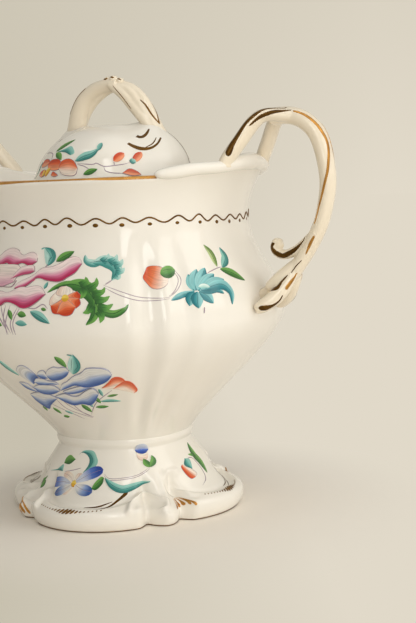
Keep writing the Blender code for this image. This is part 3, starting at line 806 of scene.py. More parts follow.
class Enamel:
    """Touches of enamel or gold on one wall, each a thin closed body a little higher than the last."""

    def __init__(self, wall, turn=0.0, mirror=None):
        self.wall = wall
        self.turn = turn
        self.mirror = mirror
        self.layer = 0
        self.vertices = []
        self.faces = []
        self.colours = []
        self.brushed = []

    def spot(self, turn, up):
        turn = turn if self.mirror is None else self.mirror - turn
        return self.wall(turn + self.turn, up)

    def degree(self, spots):
        """Millimetres in one degree round the wall at the middle of the spots."""
        turn, up = np.mean(np.asarray(spots, float), axis=0)
        return np.linalg.norm(self.spot(turn + 0.5, up) - self.spot(turn - 0.5, up))

    def edge(self, spots, count, degree):
        """Spots even steps apart along the smooth curve through the given ones."""
        line = curve_through(spots, 8)
        run = run_along(line * (degree, 1))
        return np.stack(read_off(np.linspace(0, run[-1], count), run, line), -1)

    def touch(self, low, high, brush, lengthwise=False):
        """Colour between two edges, deep on the low edge, or at the start where lengthwise is set."""
        count = len(low)
        degree = self.degree(low)
        breadth = np.abs((high - low) * (degree, 1)).sum(axis=1).max()
        rows = int(np.clip(breadth / ROW_STEP, 1, 9)) + 1
        t = np.repeat(np.linspace(0, 1, count)[:, None], rows, axis=1)
        s = np.repeat(np.linspace(0, 1, rows)[None, :], count, axis=0)
        grid = low[:, None] * (1 - s[..., None]) + high[:, None] * s[..., None]
        turn, up = grid[..., 0], grid[..., 1]
        base = self.spot(turn, up)
        normal = np.cross(self.spot(turn + NUDGE, up) - base, self.spot(turn, up + NUDGE) - base)
        normal *= (-1 if self.mirror is not None else 1) / np.linalg.norm(normal, axis=-1)[..., None]
        top = base + normal * (ENAMEL_RISE + self.layer * ENAMEL_STEP)
        under = base - normal * ENAMEL_ROOT
        first = sum(len(part) for part in self.vertices)
        index = first + np.arange(count * rows).reshape(count, rows)
        faces = slab_faces(index)
        outline = np.concatenate([low, high[::-1]]) * (degree, 1)
        turned = np.roll(outline, -1, axis=0)
        area = np.sum(outline[:, 0] * turned[:, 1] - turned[:, 0] * outline[:, 1])
        if (area < 0) != (self.mirror is not None):
            faces = faces[:, ::-1]
        tones = np.array([linear(tone)[:3] for tone in ENAMELS[brush]])
        depth = smooth_step(t if lengthwise else s)
        colour = np.stack(read_off(depth, PETAL_DEPTHS.get(brush, DEPTHS), tones), -1)
        length = run_along(low * (degree, 1))[-1]
        brushed = np.stack([t * length, s * breadth, np.full_like(t, STREAK_STEP * len(self.vertices))], -1)
        self.vertices += [top.reshape(-1, 3), under.reshape(-1, 3)]
        self.faces.append(faces)
        self.colours += [colour.reshape(-1, 3)] * 2
        self.brushed += [brushed.reshape(-1, 3)] * 2
        self.layer += 1

    def blade(self, brush, width, spots, shape, lengthwise=False):
        """A touch along a line, as wide as its shape says at each share of its length."""
        degree = self.degree(spots)
        length = run_along(np.asarray(spots, float) * (degree, 1))[-1]
        count = int(np.clip(length / BLADE_STEP, 6, 60))
        line = self.edge(spots, count, degree) * (degree, 1)
        along = np.gradient(line, axis=0)
        along /= np.maximum(np.linalg.norm(along, axis=1), 1e-9)[:, None]
        half = shape(np.linspace(0, 1, count)) * width / 2
        side = np.stack([along[:, 1], -along[:, 0]], -1) * half[:, None]
        self.touch((line + side) / (degree, 1), (line - side) / (degree, 1), brush, lengthwise)

    def line(self, width, *spots, brush="ink"):
        """An even pen or brush line with rounded-off ends."""
        self.blade(brush, width, spots, lambda t: np.clip(6 * np.minimum(t, 1 - t), 0.35, 1))

    def leaf(self, brush, width, *spots, vein=None):
        """A leaf pointed at both ends, with a dark vein where one is asked for."""
        self.blade(brush, width, spots, lambda t: 0.06 + 0.94 * np.sin(np.pi * t**0.9) ** 0.85)
        if vein:
            self.line(0.16, *spots, brush=vein)

    def frond(self, brush, width, *spots):
        """A lobe that leaves its leaf broadly and ends in a point."""
        self.blade(brush, width, spots, lambda t: 0.05 + 0.95 * np.cos(np.pi / 2 * t) ** 0.8, True)

    def round(self, brush, width, *spots, lengthwise=False):
        """A full touch with blunt ends."""
        self.blade(brush, width, spots, lambda t: np.sqrt(np.maximum(0.02, 1 - (2 * t - 1) ** 2)), lengthwise)

    def petal(self, brush, low, over, lengthwise=False, pen="ink"):
        """A petal from its low edge to the spots over it, drawn round in the pen's colour."""
        high = [low[0], *over, low[-1]]
        degree = self.degree(low)
        longest = max(run_along(np.asarray(spots, float) * (degree, 1))[-1] for spots in (low, high))
        count = int(np.clip(longest / PETAL_STEP, 8, 70))
        low, high = (self.edge(spots, count, degree) for spots in (low, high))
        self.touch(low, high, brush, lengthwise)
        if pen:
            self.line(PEN, *high[:: max(1, count // 14)], high[-1], brush=pen)
            self.line(PEN, *low[:: max(1, count // 14)], low[-1], brush=pen)

    def next_motif(self):
        self.layer = 0

    def piece(self, name, material):
        vertices = np.concatenate(self.vertices)
        faces = [face for part in self.faces for face in part.tolist()]
        obj = finished(name, vertices, faces, material, outward=True)
        obj.data.set_sharp_from_angle(angle=math.radians(40))
        colour = obj.data.color_attributes.new("enamel", "FLOAT_COLOR", "POINT")
        rgba = np.concatenate([np.concatenate(self.colours), np.ones((len(vertices), 1))], axis=1)
        colour.data.foreach_set("color", rgba.ravel())
        brushed = obj.data.attributes.new("brushed", "FLOAT_VECTOR", "POINT")
        brushed.data.foreach_set("vector", (np.concatenate(self.brushed) * MM).ravel())
        return obj


def overglaze(name):
    """Painted enamels fired on the glaze. Each touch has its own colour, deep where the brush was laid down
    and thin at its far side, with the fine lengthwise streaks of the hairs, and a glassy, slightly softer
    shine."""
    material, tree, shader = new_material(name, Roughness=0.2, IOR=1.52)
    colour = add_node(tree, "ShaderNodeAttribute", attribute_name="enamel")
    brushed = add_node(tree, "ShaderNodeAttribute", attribute_name="brushed")
    streak = (1 / (5 * MM), 1 / (0.5 * MM), 1 / MM)
    stretch = add_node(tree, "ShaderNodeMapping", [("Vector", brushed.outputs["Vector"])], Scale=streak)
    brush = [("Vector", stretch.outputs["Vector"])]
    hairs = add_node(tree, "ShaderNodeTexNoise", brush, Scale=1.0, Detail=2.0).outputs["Fac"]
    spread = ranged(tree, hairs, From_Min=0.3, From_Max=0.7, To_Min=0.80, To_Max=1.12)
    tint = add_node(tree, "ShaderNodeVectorMath", [(0, colour.outputs["Color"])], operation="SCALE")
    tree.links.new(spread, tint.inputs["Scale"])
    tree.links.new(tint.outputs["Vector"], shader.inputs["Base Color"])
    bump = add_node(tree, "ShaderNodeBump", [("Height", hairs)], Strength=0.2, Distance=0.05 * MM)
    tree.links.new(bump.outputs["Normal"], shader.inputs["Normal"])
    return material


def acanthus(paint):
    """Green acanthus leaf curling down from the peony, and the teal one above it."""
    paint.next_motif()
    paint.leaf("seafoam", 2.8, (18, 86.2), (18.6, 84), (21.5, 83), (24.5, 83.8), (27.5, 83.2))
    paint.leaf("seafoam", 4.8, (21, 83.2), (25, 83.8), (28.5, 82.4), (29.6, 79.6), (27.8, 76.6))
    for lobe in (
        ((24.5, 83.4), (26.4, 85), (27, 86.4)),
        ((27, 83), (29.4, 84.4), (30, 86)),
        ((28.6, 82), (31, 82.6), (32, 84.2)),
        ((29.2, 80.2), (31.2, 79.8), (32.4, 81)),
        ((28.9, 78.9), (30, 77.6), (31, 78.2)),
    ):
        paint.frond("seafoam", 2.7, *lobe)
        paint.line(0.14, *lobe[:2], brush="dusk")
    paint.line(0.14, (20, 83.4), (25, 83.8), (28.5, 82.2), (29.4, 79.4), (28, 77), brush="dusk")
    paint.line(0.3, (27.8, 76.6), (25.6, 75.2), brush="stem")
    paint.next_motif()
    paint.leaf("green", 2.2, (5, 72.6), (8, 74.6), (12, 75.8), (16.5, 75.4), (20.5, 73))
    paint.leaf("green", 5.6, (11, 75.6), (17, 75), (20.5, 72.4), (22.4, 69.4), (23.4, 66.8), (25.5, 65))
    paint.leaf("green", 2.7, (22.6, 68.6), (25, 65.8), (28.2, 64.8), (31.5, 66.2), (32.8, 68))
    paint.leaf("green", 2.9, (21.6, 70), (22.4, 66.6), (21.6, 63.6), (19.3, 61.4))
    for lobe in (
        ((17, 75), (19, 76.6), (18.6, 78.2)),
        ((19.6, 73.6), (22.4, 75.6), (22.6, 77.8)),
        ((21.2, 71.6), (24.6, 72.6), (25.4, 74.2)),
        ((22.2, 69.8), (25.2, 69.8), (27, 71)),
        ((23.2, 67.4), (26, 67), (28, 68.2)),
        ((23.4, 66), (24.4, 64), (23.8, 62)),
        ((18, 74.4), (18.4, 72), (17.4, 70.4)),
        ((21.4, 68), (20, 66), (18.4, 65.4)),
    ):
        paint.frond("green", 2.9, *lobe)
        paint.line(0.14, *lobe[:2], brush="shade")
    for vein in (
        ((8, 74.4), (14, 75.6), (19, 73.6), (22, 70), (23.4, 66.8), (25.5, 65.4)),
        ((22.2, 68.6), (22, 65), (20.5, 62.4)),
        ((25, 65.6), (28.2, 65), (31, 66.4)),
    ):
        paint.line(0.16, *vein, brush="shade")


def rose_peony(paint):
    """Pale peony whose petals deepen to magenta along their lower edges, on a tuft of grey-mauve stems."""
    paint.next_motif()
    for stem in (
        ((-13, 68), (-11, 63.5), (-8, 58.5)),
        ((-11, 68), (-11, 63), (-9, 58)),
        ((-9, 68), (-10, 62), (-9.5, 58)),
        ((-5, 67), (-7, 62), (-6, 58)),
        ((-6, 67), (-8, 62), (-7, 58)),
        ((-16, 67), (-13, 64), (-10, 60)),
    ):
        paint.line(0.4, *stem, brush="stem")
    paint.leaf("green", 1.8, (-9.5, 66.5), (-8.5, 65), (-7.5, 63))
    paint.leaf("green", 2.2, (-5.5, 65), (-4, 65), (-2, 64.5))
    paint.leaf("teal", 2.0, (-6, 62), (-4, 62), (-1.5, 61.5))
    paint.leaf("green", 1.2, (3.5, 67), (5.5, 66.5))
    paint.leaf("green", 1.8, (-14.5, 63), (-13, 61.5), (-11.5, 61))
    paint.leaf("teal", 2.9, (-0.5, 66), (3, 64.5), (7, 62), vein="dusk")
    paint.line(0.3, (-3, 67.5), (1, 67), (4, 68.5), (6, 67), brush="stem")
    paint.leaf("teal", 1.3, (3.5, 74), (4.5, 76.5))
    paint.leaf("green", 2.8, (6.5, 84), (9, 85.5), (13.5, 87.5), vein="shade")
    paint.leaf("seafoam", 4.4, (3, 82.5), (3.5, 86), (0.5, 89), vein="dusk")
    paint.line(0.4, (0.5, 89), (-1, 88.5), brush="teal")
    paint.line(0.17, (3, 84), (4.5, 86), (3.5, 88), brush="dusk")
    paint.line(0.3, (2, 81.5), (3, 83), brush="stem")
    paint.petal(
        "rose",
        [(-28, 82.5), (-20, 82.5), (-16.5, 83.5), (-13, 82), (-9, 83.5), (-5, 82.5), (-2, 84)],
        [
            (-27, 86), (-22, 86), (-19, 88), (-15, 89), (-11.5, 88), (-10, 86.5), (-8, 86.5), (-5.5, 87.5),
            (-2.5, 86.5),
        ],
    )
    paint.petal("blush", [(-22, 75), (-16, 74.5), (-10, 76.5)], [(-22, 82), (-15, 83), (-9, 82)])
    for low, over in (
        ([(-12, 77.5), (-7, 79), (-4, 79.5), (-2, 80.5)], [(-9, 81.5), (-6, 82.5), (-3, 82.5)]),
        ([(-22, 75.5), (-25, 78), (-24.5, 81), (-21, 83)], [(-19, 78), (-19, 81)]),
        (
            [(-9, 74), (-5, 74.5), (-2, 76.5), (0, 78), (4, 77), (9, 76.5), (12, 78), (15, 80), (17, 83)],
            [
                (-8, 76), (-5, 77.5), (-2, 79), (1, 81.5), (5, 82), (9, 83.5), (11.5, 85), (14, 85.5),
                (16, 85),
            ],
        ),
        (
            [
                (-23, 69), (-17, 67.5), (-13.5, 67.5), (-11, 69), (-7.5, 68.5), (-4, 67), (-1, 67.5),
                (2, 69.5), (4.5, 72),
            ],
            [(-21, 72), (-15, 73), (-11, 72.5), (-6.5, 74.5), (-3, 74.5), (0, 75), (2.5, 74.5)],
        ),
    ):
        paint.petal("rose", low, over)
    paint.line(PEN, (-18, 75), (-12, 74.5), (-10, 75), (-9, 77))


def orange_flower(paint):
    """Small open flower under the acanthus: two white petals above, orange ones below, a yellow eye."""
    paint.next_motif()
    for low, over in (
        ([(11, 70.5), (7, 68), (6.5, 70.5), (8.5, 73)], [(10.5, 72)]),
        ([(12, 71), (8.5, 72), (9.5, 74.5), (12, 75)], [(14.5, 72.5), (14, 74)]),
    ):
        paint.petal("cream", low, over)
    for low, over in (
        ([(16, 73), (17.5, 71.5), (17, 70)], [(13.5, 72), (12, 70.5)]),
        ([(17, 70.5), (17.5, 68.5), (16, 67)], [(12.5, 70.5)]),
        ([(7, 68), (8, 65.5), (10.5, 65)], [(9, 69), (12, 70.5)]),
        ([(9.5, 65.5), (12, 64.5), (14.5, 65), (16, 67.5)], [(11, 69.5), (13, 70)]),
    ):
        paint.petal("orange", low, over)
    paint.round("yellow", 2.6, (10.7, 70.5), (12, 70.6), (13.3, 70.5))


def bud_sprig(paint):
    """Orange bud in a green calyx on a double stem."""
    paint.next_motif()
    for stem in (
        ((25, 75), (31, 72.3), (37, 70), (43, 69.4), (46, 69.5)),
        ((25, 74.3), (30, 71.3), (36, 69), (41, 68.6), (46, 69)),
        ((50.5, 79), (52, 75.5), (50, 72), (46, 69.5)),
        ((50, 78.5), (51, 75.5), (49, 72), (46, 69.8)),
    ):
        paint.line(0.26, *stem, brush="stem")
    paint.petal(
        "bud",
        [(39.5, 79), (38.5, 77), (39.5, 75), (41, 73), (43.5, 72.7), (46, 74), (47, 76)],
        [(40.5, 80.8), (43, 81.2), (45.5, 80.5), (47, 78.5)],
        lengthwise=True,
    )
    paint.round("green", 4.6, (44.5, 78), (47.5, 78.6), (50.5, 79))
    paint.line(0.17, (45.5, 79.3), (47.5, 79.5), (49.5, 79.5), brush="shade")
    paint.line(0.17, (46, 77), (48, 77.5), (49.5, 78.3), brush="shade")


def turquoise_spray(paint):
    """Turquoise flower of narrow leaves that spring from one point, on the fluted corner."""
    paint.next_motif()
    paint.leaf("turquoise", 2.2, (46.5, 68.4), (50, 69.5), (55.5, 71))
    for width, leaf in (
        (2.6, ((55.2, 71), (55, 74.6), (54.8, 77.2))),
        (3.2, ((55.8, 71), (56.8, 75.6), (58.5, 78.8))),
        (3.6, ((56.5, 71.2), (60, 76), (62.4, 79))),
        (3.4, ((56.5, 71), (62, 74.6), (65.4, 76.4))),
        (2.8, ((55.2, 70.6), (53.5, 68.2), (52.8, 65.8))),
        (3.2, ((56.2, 70.6), (55.5, 67.4), (55.5, 64.8))),
        (3.2, ((56.8, 70.6), (59.5, 68.8), (61.4, 66))),
        (2.8, ((57, 70.6), (63.5, 71.2), (66.8, 69))),
        (3.2, ((57.5, 71), (64.8, 73.4), (69, 74))),
        (3.0, ((58, 71), (66.5, 72.4), (70.2, 69.4), (69.4, 64.8))),
    ):
        paint.leaf("turquoise", TURQUOISE_FULLNESS * width, *leaf)
        paint.line(0.14, *leaf, brush="dusk")
    paint.round("aqua", 1.7, (57, 72.2), (59.2, 72.4), (61.5, 71.8))
    paint.line(0.3, (57.5, 65), (57, 63), brush="stem")


def leaf_trio(paint):
    """Three leaves on one joint above the turquoise flower."""
    paint.next_motif()
    paint.line(0.35, (62, 76.7), (65, 77.7), (69, 78.6), (71, 78.6), brush="stem")
    paint.leaf("lime", 2.7, (68.5, 79), (68, 84), (65.5, 87.5), vein="shade")
    paint.leaf("teal", 3.6, (71, 78.5), (75, 82), (74, 86), vein="dusk")
    paint.leaf("green", 3.3, (69.5, 78), (75, 76), (81, 72.5), vein="shade")


def blue_peony(paint):
    """Blue peony low on the panel, with a coral petal at its right and a tuft of small leaves below."""
    paint.next_motif()
    for stem in (
        ((-12.5, 23), (-6, 19), (4, 14)),
        ((-6, 26), (-3, 19.5), (9.5, 15)),
        ((-3, 26), (1, 20.5), (11, 15.5)),
        ((2, 23.5), (5, 18.5), (10.5, 15)),
        ((10.5, 17), (16, 24), (25, 31.5)),
    ):
        paint.line(0.32, *stem, brush="stem")
    for brush, width, spots in (
        ("teal", 1.3, ((19.5, 32.5), (20.5, 28))),
        ("green", 1.3, ((22.5, 28), (27.5, 29))),
        ("teal", 1.6, ((18.5, 25), (23.5, 25.5), (28.5, 25))),
        ("green", 1.9, ((15.5, 28.5), (18.5, 24))),
        ("green", 1.7, ((15, 21.5), (22, 22))),
        ("teal", 1.1, ((12, 24), (13.5, 21.5))),
        ("green", 2.1, ((7.5, 23), (11.5, 18.5))),
        ("teal", 1.2, ((-6, 18.5), (-1.5, 17))),
        ("green", 1.7, ((-13, 20), (-10.5, 16.5))),
        ("green", 1.5, ((-10.5, 15), (-6, 15))),
        ("green", 1.3, ((-20, 20.5), (-20.5, 17.5))),
        ("teal", 2.1, ((-20, 47), (-18, 42.5), (-15.5, 39))),
        ("green", 2.5, ((6.5, 49.5), (8, 47.5), (9.5, 44.5))),
    ):
        paint.leaf(brush, width, *spots)
    paint.leaf("seafoam", 4.6, (11, 41), (13, 46), (13.5, 50.5))
    paint.line(0.17, (11, 43), (12, 46), (13, 49), brush="dusk")
    paint.line(0.17, (12, 42.5), (14, 45), (14, 48), brush="dusk")
    paint.line(0.4, (13.5, 50), (11.5, 50.5), brush="teal")
    for low, over in (
        ([(21, 33), (24, 36), (26, 38.5), (28, 39), (30, 38), (31.5, 35.5)], [(24.5, 32.5), (28, 33)]),
        (
            [(25.5, 32.5), (28, 35), (30.5, 36.7), (33, 36), (35, 33.5), (36, 31), (34.5, 29.5)],
            [(29.5, 31.5), (32.5, 30.5)],
        ),
    ):
        paint.petal("coral", low, over, pen=None)
    for low, over in (
        ([(-11, 34.5), (-6, 38), (-6, 40)], [(-14, 38.5), (-14, 42), (-11, 44.5), (-8, 44)]),
        ([(-5.5, 40), (-4, 38), (-1, 38.5)], [(-4, 41.5), (-1, 42.5)]),
        ([(-19, 35), (-18, 31.5), (-14, 30), (-12, 30)], [(-15, 34.5)]),
        (
            [(-1, 40), (0, 37.5), (4, 37.7), (8, 40), (10, 42.5)],
            [(0.5, 42.5), (4, 44.5), (6, 44.2), (9, 44.5)],
        ),
        ([(-9.5, 36), (-8, 34.5), (-5, 34), (-2, 35), (2, 35)], [(-7, 38), (-4, 38), (-2, 37), (1, 36.5)]),
        ([(-19.5, 28), (-20, 23.5), (-16.5, 19.5), (-12, 22), (-4, 26.5)], [(-13, 29.7), (-8, 29)]),
        (
            [(-12.5, 33), (-12, 30), (-8.5, 28.8), (-3.5, 29.5), (1, 31.5)],
            [(-8, 34.3), (-4, 34.5), (-0.5, 34)],
        ),
        ([(2, 31), (5, 29.8), (11, 31), (16.5, 34)], [(7.5, 33), (13, 34.5)]),
        (
            [(1, 31.5), (5.5, 33.3), (10, 35), (13.5, 34), (17, 34.2), (22, 36), (24.5, 38), (26, 40.5)],
            [(3.5, 35), (7, 37), (11, 40), (14.5, 41.7), (17, 44), (21.5, 44.2), (24.7, 43.2)],
        ),
        (
            [(-4, 28), (-1, 25), (3.5, 23), (9, 24), (13, 23.3), (16.5, 26), (19, 30)],
            [(2, 29.7), (5.5, 28.3), (9, 28.7), (12.5, 31), (16, 33), (18, 32.5)],
        ),
    ):
        paint.petal("blue", low, over, pen="slate")


def lid_spray(paint):
    """Orange flowers, buds and leaves round the front of the lid."""
    paint.next_motif()
    for stem in (
        ((5.5, 21.4), (16, 20.8), (19, 21.2), (24, 20), (30.5, 20.2), (38.5, 20.8), (43, 21.6)),
        ((5.5, 21), (10, 20.4), (14, 19.2)),
        ((31, 20.4), (30.8, 21.6)),
        ((24, 19.8), (25, 18.4), (29.5, 17.6), (36, 17.4)),
        ((-18, 23.4), (-20, 26), (-33, 27)),
    ):
        paint.line(0.35, *stem, brush="stem")
    paint.leaf("teal", 2.4, (-49, 17.2), (-39, 20.4), (-31.5, 22.8), vein="dusk")
    paint.leaf("green", 2.0, (-16, 26.6), (-10, 29.4), (-3, 32.2), vein="shade")
    paint.petal(
        "teal",
        [(-14, 26.4), (-7, 26), (-1, 24.6)],
        [(-7.5, 27.6), (-2.5, 28.6), (2, 25.6)],
        pen=None,
    )
    paint.leaf("green", 2.4, (-15, 26), (-11, 24.6), (-8, 23))
    for low, over in (
        ([(-31, 21.6), (-26.5, 23.6), (-20.5, 23.4), (-19, 22.4)], [(-29.5, 20.6), (-23, 21)]),
        ([(-21, 21.4), (-17, 23.2), (-10, 23.2), (-7, 21.6)], [(-19.5, 20), (-14, 19.2), (-8, 19.8)]),
        ([(-31.5, 17.8), (-29, 19.2), (-23, 19.6), (-21.5, 18.2)], [(-26, 17)]),
        ([(-15.5, 17.4), (-14, 18.8), (-9, 17.4)], [(-12, 16.8)]),
    ):
        paint.petal("orange", low, over)
    paint.petal(
        "coral",
        [(-9, 19.8), (-7.5, 22.2), (-2, 23.2), (3, 22.2), (6, 19.6)],
        [(-6, 17.8), (-1, 17), (4.5, 17.2)],
    )
    paint.leaf("yellow", 1.6, (-25, 17.2), (-24, 18.6), (-23, 19.6))
    paint.leaf("yellow", 1.7, (-21.5, 17.2), (-20, 19), (-17, 20.2))
    paint.leaf("teal", 3.0, (4, 22.2), (10, 23.8), (15.5, 24.8), (20, 26.8), vein="dusk")
    paint.round("teal", 1.7, (19.8, 26.2), (20.8, 28), (22.2, 29.6))
    for spots in (((38.4, 25.2), (34.5, 23.6), (30.8, 21.8)), ((52.8, 26), (49, 24), (45.4, 21.8))):
        paint.round("orange", 3.0, *spots)
    paint.round("teal", 2.2, (43.4, 23), (44.2, 22), (46.4, 21.2))
    paint.leaf("green", 2.1, (10.5, 17.2), (15, 18.2), (19.6, 19), vein="shade")
    paint.petal("orange", [(36, 17.4), (41, 19), (46, 18.2), (49, 16.8)], [(43, 16.4)])


def foot_spray(paint):
    """Blue and white flower in the middle of the lobe, a hooked teal leaf, a blue bud and trailing leaves."""
    paint.next_motif()
    for low in (0, 0.7):
        stem = ((14, 26.6 - low), (18, 24.8 - low), (28, 25 - low), (38, 26 - low), (46, 28.6 - low))
        paint.line(0.26, *stem, brush="stem")
    paint.line(0.3, (-19.5, 26.2), (-12.5, 27.2), (-6, 28.4), brush="stem")
    paint.petal("green", [(-24, 29.4), (-18, 29.4), (-14, 31.6)], [(-24.5, 31.6), (-21, 33)], pen=None)
    paint.petal("teal", [(-37, 25), (-27, 26), (-21.5, 26.2)], [(-29, 26.6), (-24, 29)], pen=None)
    paint.leaf("green", 1.5, (-46, 15), (-42, 19), (-38, 22.4))
    paint.leaf("green", 2.0, (-40, 15.6), (-39.5, 18), (-38.5, 20.2))
    paint.petal(
        "teal",
        [(-12.5, 33.6), (-10, 34.4), (-5, 33.8), (-1, 32), (-0.5, 29.5), (-3, 26.6)],
        [(-8, 35.3), (0.8, 35.3), (5.5, 32.8), (7, 31), (5, 29)],
        pen=None,
    )
    paint.line(0.17, (-9, 34.6), (-2, 34), (2.5, 31.5), (0.5, 28.4), brush="dusk")
    for brush, width, spots in (
        ("cream", 3.0, ((-19, 25.6), (-12, 24.4), (-7, 22))),
        ("cream", 3.2, ((-13, 17), (-10, 19), (-7, 22))),
        ("cream", 2.6, ((-4, 26.4), (-6, 24), (-7, 22))),
        ("cobalt", 4.4, ((-30, 19.4), (-20, 21.8), (-10, 22))),
        ("blue", 4.0, ((-19.5, 16), (-14, 18.6), (-8, 21.4))),
        ("cobalt", 4.4, ((12.5, 28.4), (3, 26.2), (-6, 22.6))),
        ("blue", 4.4, ((8, 19), (1, 19.8), (-6, 21.6))),
    ):
        paint.blade(brush, width, spots, lambda t: 0.05 + np.sin(np.pi * t**0.7) ** 0.7, lengthwise=True)
        paint.line(0.13, *spots)
    paint.round("yellow", 2.9, (-8.8, 21.8), (-7, 21.9), (-5.2, 22))
    paint.petal("green", [(7, 20.4), (10, 20), (13.5, 22.6), (14, 25)], [(8.5, 23), (12, 25.4)], pen=None)
    paint.line(0.16, (8, 21), (11, 23), (13.5, 24.6), brush="shade")
    paint.leaf("teal", 3.4, (15, 24.8), (20.5, 21.8), (27, 20), (36, 21.4), (45, 22.3), vein="dusk")
    paint.round("cream", 4.4, (38, 34), (42.5, 33.6), (47, 34))
    paint.round("cobalt", 4.2, (37, 35.6), (42.5, 36), (48, 35.6))
    paint.leaf("green", 2.3, (46.8, 28.6), (44, 30.4), (42.5, 32))
    paint.leaf("green", 2.3, (46.8, 28.6), (50, 31), (49.5, 33))


def foot_side_bud(paint):
    """Orange bud on a bent stem and a long green leaf, on the lobe under the handle."""
    paint.next_motif()
    paint.line(0.35, (79, 28.4), (86, 28.6), (89.5, 27.2), (91, 22.2), (88, 18.4), (81, 16), brush="stem")
    paint.leaf("green", 3.8, (96, 34.2), (94, 29.2), (95.5, 25.6), (95, 22), (94, 20.2), vein="shade")
    paint.frond("green", 1.6, (94, 28.8), (91, 29.2), (86, 30))
    paint.petal("bud", [(73, 27), (71, 25.6), (75, 20.4), (80, 20.4)], [(78, 25.4), (83, 22)])
    paint.petal("teal", [(79, 29), (75, 26.4), (81, 24)], [(84, 28)], pen=None)


def burnished_gold(name, rubbed_colour, bright_colour):
    """Worn burnished gilding: dark brown-gold metal that glints orange where it faces a lamp, thinner and
    browner in patches where it has rubbed. The dark brown is painted shade standing in for the dark room the
    gold mirrors; the rubbed patches are wear."""
    material, tree, shader = new_material(name, Metallic=0.9)
    spot = add_node(tree, "ShaderNodeTexCoord").outputs["Object"]
    rubbed = patches(tree, spot, 3, 3.0)
    tree.links.new(between(tree, rubbed, rubbed_colour, bright_colour), shader.inputs["Base Color"])
    polish = ranged(tree, rubbed, From_Min=0.3, From_Max=0.7, To_Min=0.45, To_Max=0.22)
    tree.links.new(polish, shader.inputs["Roughness"])
    return material


def gilding_tree(material):
    """Node tree that runs a gold line along each edge path and sets a gold touch on each single point."""
    tree = bpy.data.node_groups.new("gilding", "GeometryNodeTree")
    tree.interface.new_socket("Geometry", in_out="INPUT", socket_type="NodeSocketGeometry")
    for name, value in (("Line radius", 0.3), ("Touch height", 0.12)):
        socket = tree.interface.new_socket(name, in_out="INPUT", socket_type="NodeSocketFloat")
        socket.default_value = value * MM
    tree.interface.new_socket("Geometry", in_out="OUTPUT", socket_type="NodeSocketGeometry")
    given = add_node(tree, "NodeGroupInput")

    def named(kind, name):
        node = add_node(tree, "GeometryNodeInputNamedAttribute", data_type=kind)
        node.inputs["Name"].default_value = name
        return next(socket for socket in node.outputs if socket.enabled and socket.name == "Attribute")

    parts = add_node(tree, "GeometryNodeSeparateGeometry", [
        ("Geometry", given.outputs["Geometry"]),
        ("Selection", named("BOOLEAN", "touch")),
    ])
    path = add_node(tree, "GeometryNodeMeshToCurve", [("Mesh", parts.outputs["Inverted"])])
    radius = given.outputs["Line radius"]
    section = add_node(tree, "GeometryNodeCurvePrimitiveCircle", [("Radius", radius)], Resolution=10)
    line = add_node(tree, "GeometryNodeCurveToMesh", [
        ("Curve", path.outputs["Curve"]),
        ("Profile Curve", section.outputs["Curve"]),
    ])
    bead = add_node(tree, "GeometryNodeMeshUVSphere", Segments=18, Rings=10, Radius=1.0)
    out = named("FLOAT_VECTOR", "out")
    upright = add_node(tree, "FunctionNodeAlignEulerToVector", [("Vector", out)], axis="Z")
    turned = add_node(tree, "FunctionNodeAlignEulerToVector", [
        ("Rotation", upright.outputs["Rotation"]),
        ("Vector", named("FLOAT_VECTOR", "along")),
    ], axis="X", pivot_axis="Z")
    size = add_node(tree, "ShaderNodeCombineXYZ", [
        ("X", named("FLOAT", "length")),
        ("Y", named("FLOAT", "breadth")),
        ("Z", given.outputs["Touch height"]),
    ])
    touches = add_node(tree, "GeometryNodeInstanceOnPoints", [
        ("Points", parts.outputs["Selection"]),
        ("Instance", bead.outputs["Mesh"]),
        ("Rotation", turned.outputs["Rotation"]),
        ("Scale", size.outputs["Vector"]),
    ])
    joined = add_node(tree, "GeometryNodeJoinGeometry")
    tree.links.new(line.outputs["Mesh"], joined.inputs["Geometry"])
    tree.links.new(touches.outputs["Instances"], joined.inputs["Geometry"])
    smooth = add_node(tree, "GeometryNodeSetShadeSmooth", [("Geometry", joined.outputs["Geometry"])])
    solid = add_node(tree, "GeometryNodeRealizeInstances", [("Geometry", smooth.outputs["Geometry"])])
    gold = add_node(tree, "GeometryNodeSetMaterial", [("Geometry", solid.outputs["Geometry"])])
    gold.inputs["Material"].default_value = material
    add_node(tree, "NodeGroupOutput", [("Geometry", gold.outputs["Geometry"])])
    return tree


def wall_frame(wall, turn, up):
    """Spot on a wall with its outward direction and the direction round the wall."""
    spot = wall(turn, up)
    along = wall(turn + NUDGE, up) - spot
    out = np.cross(along, wall(turn, up + NUDGE) - spot)
    return spot, out / np.linalg.norm(out), along / np.linalg.norm(along)


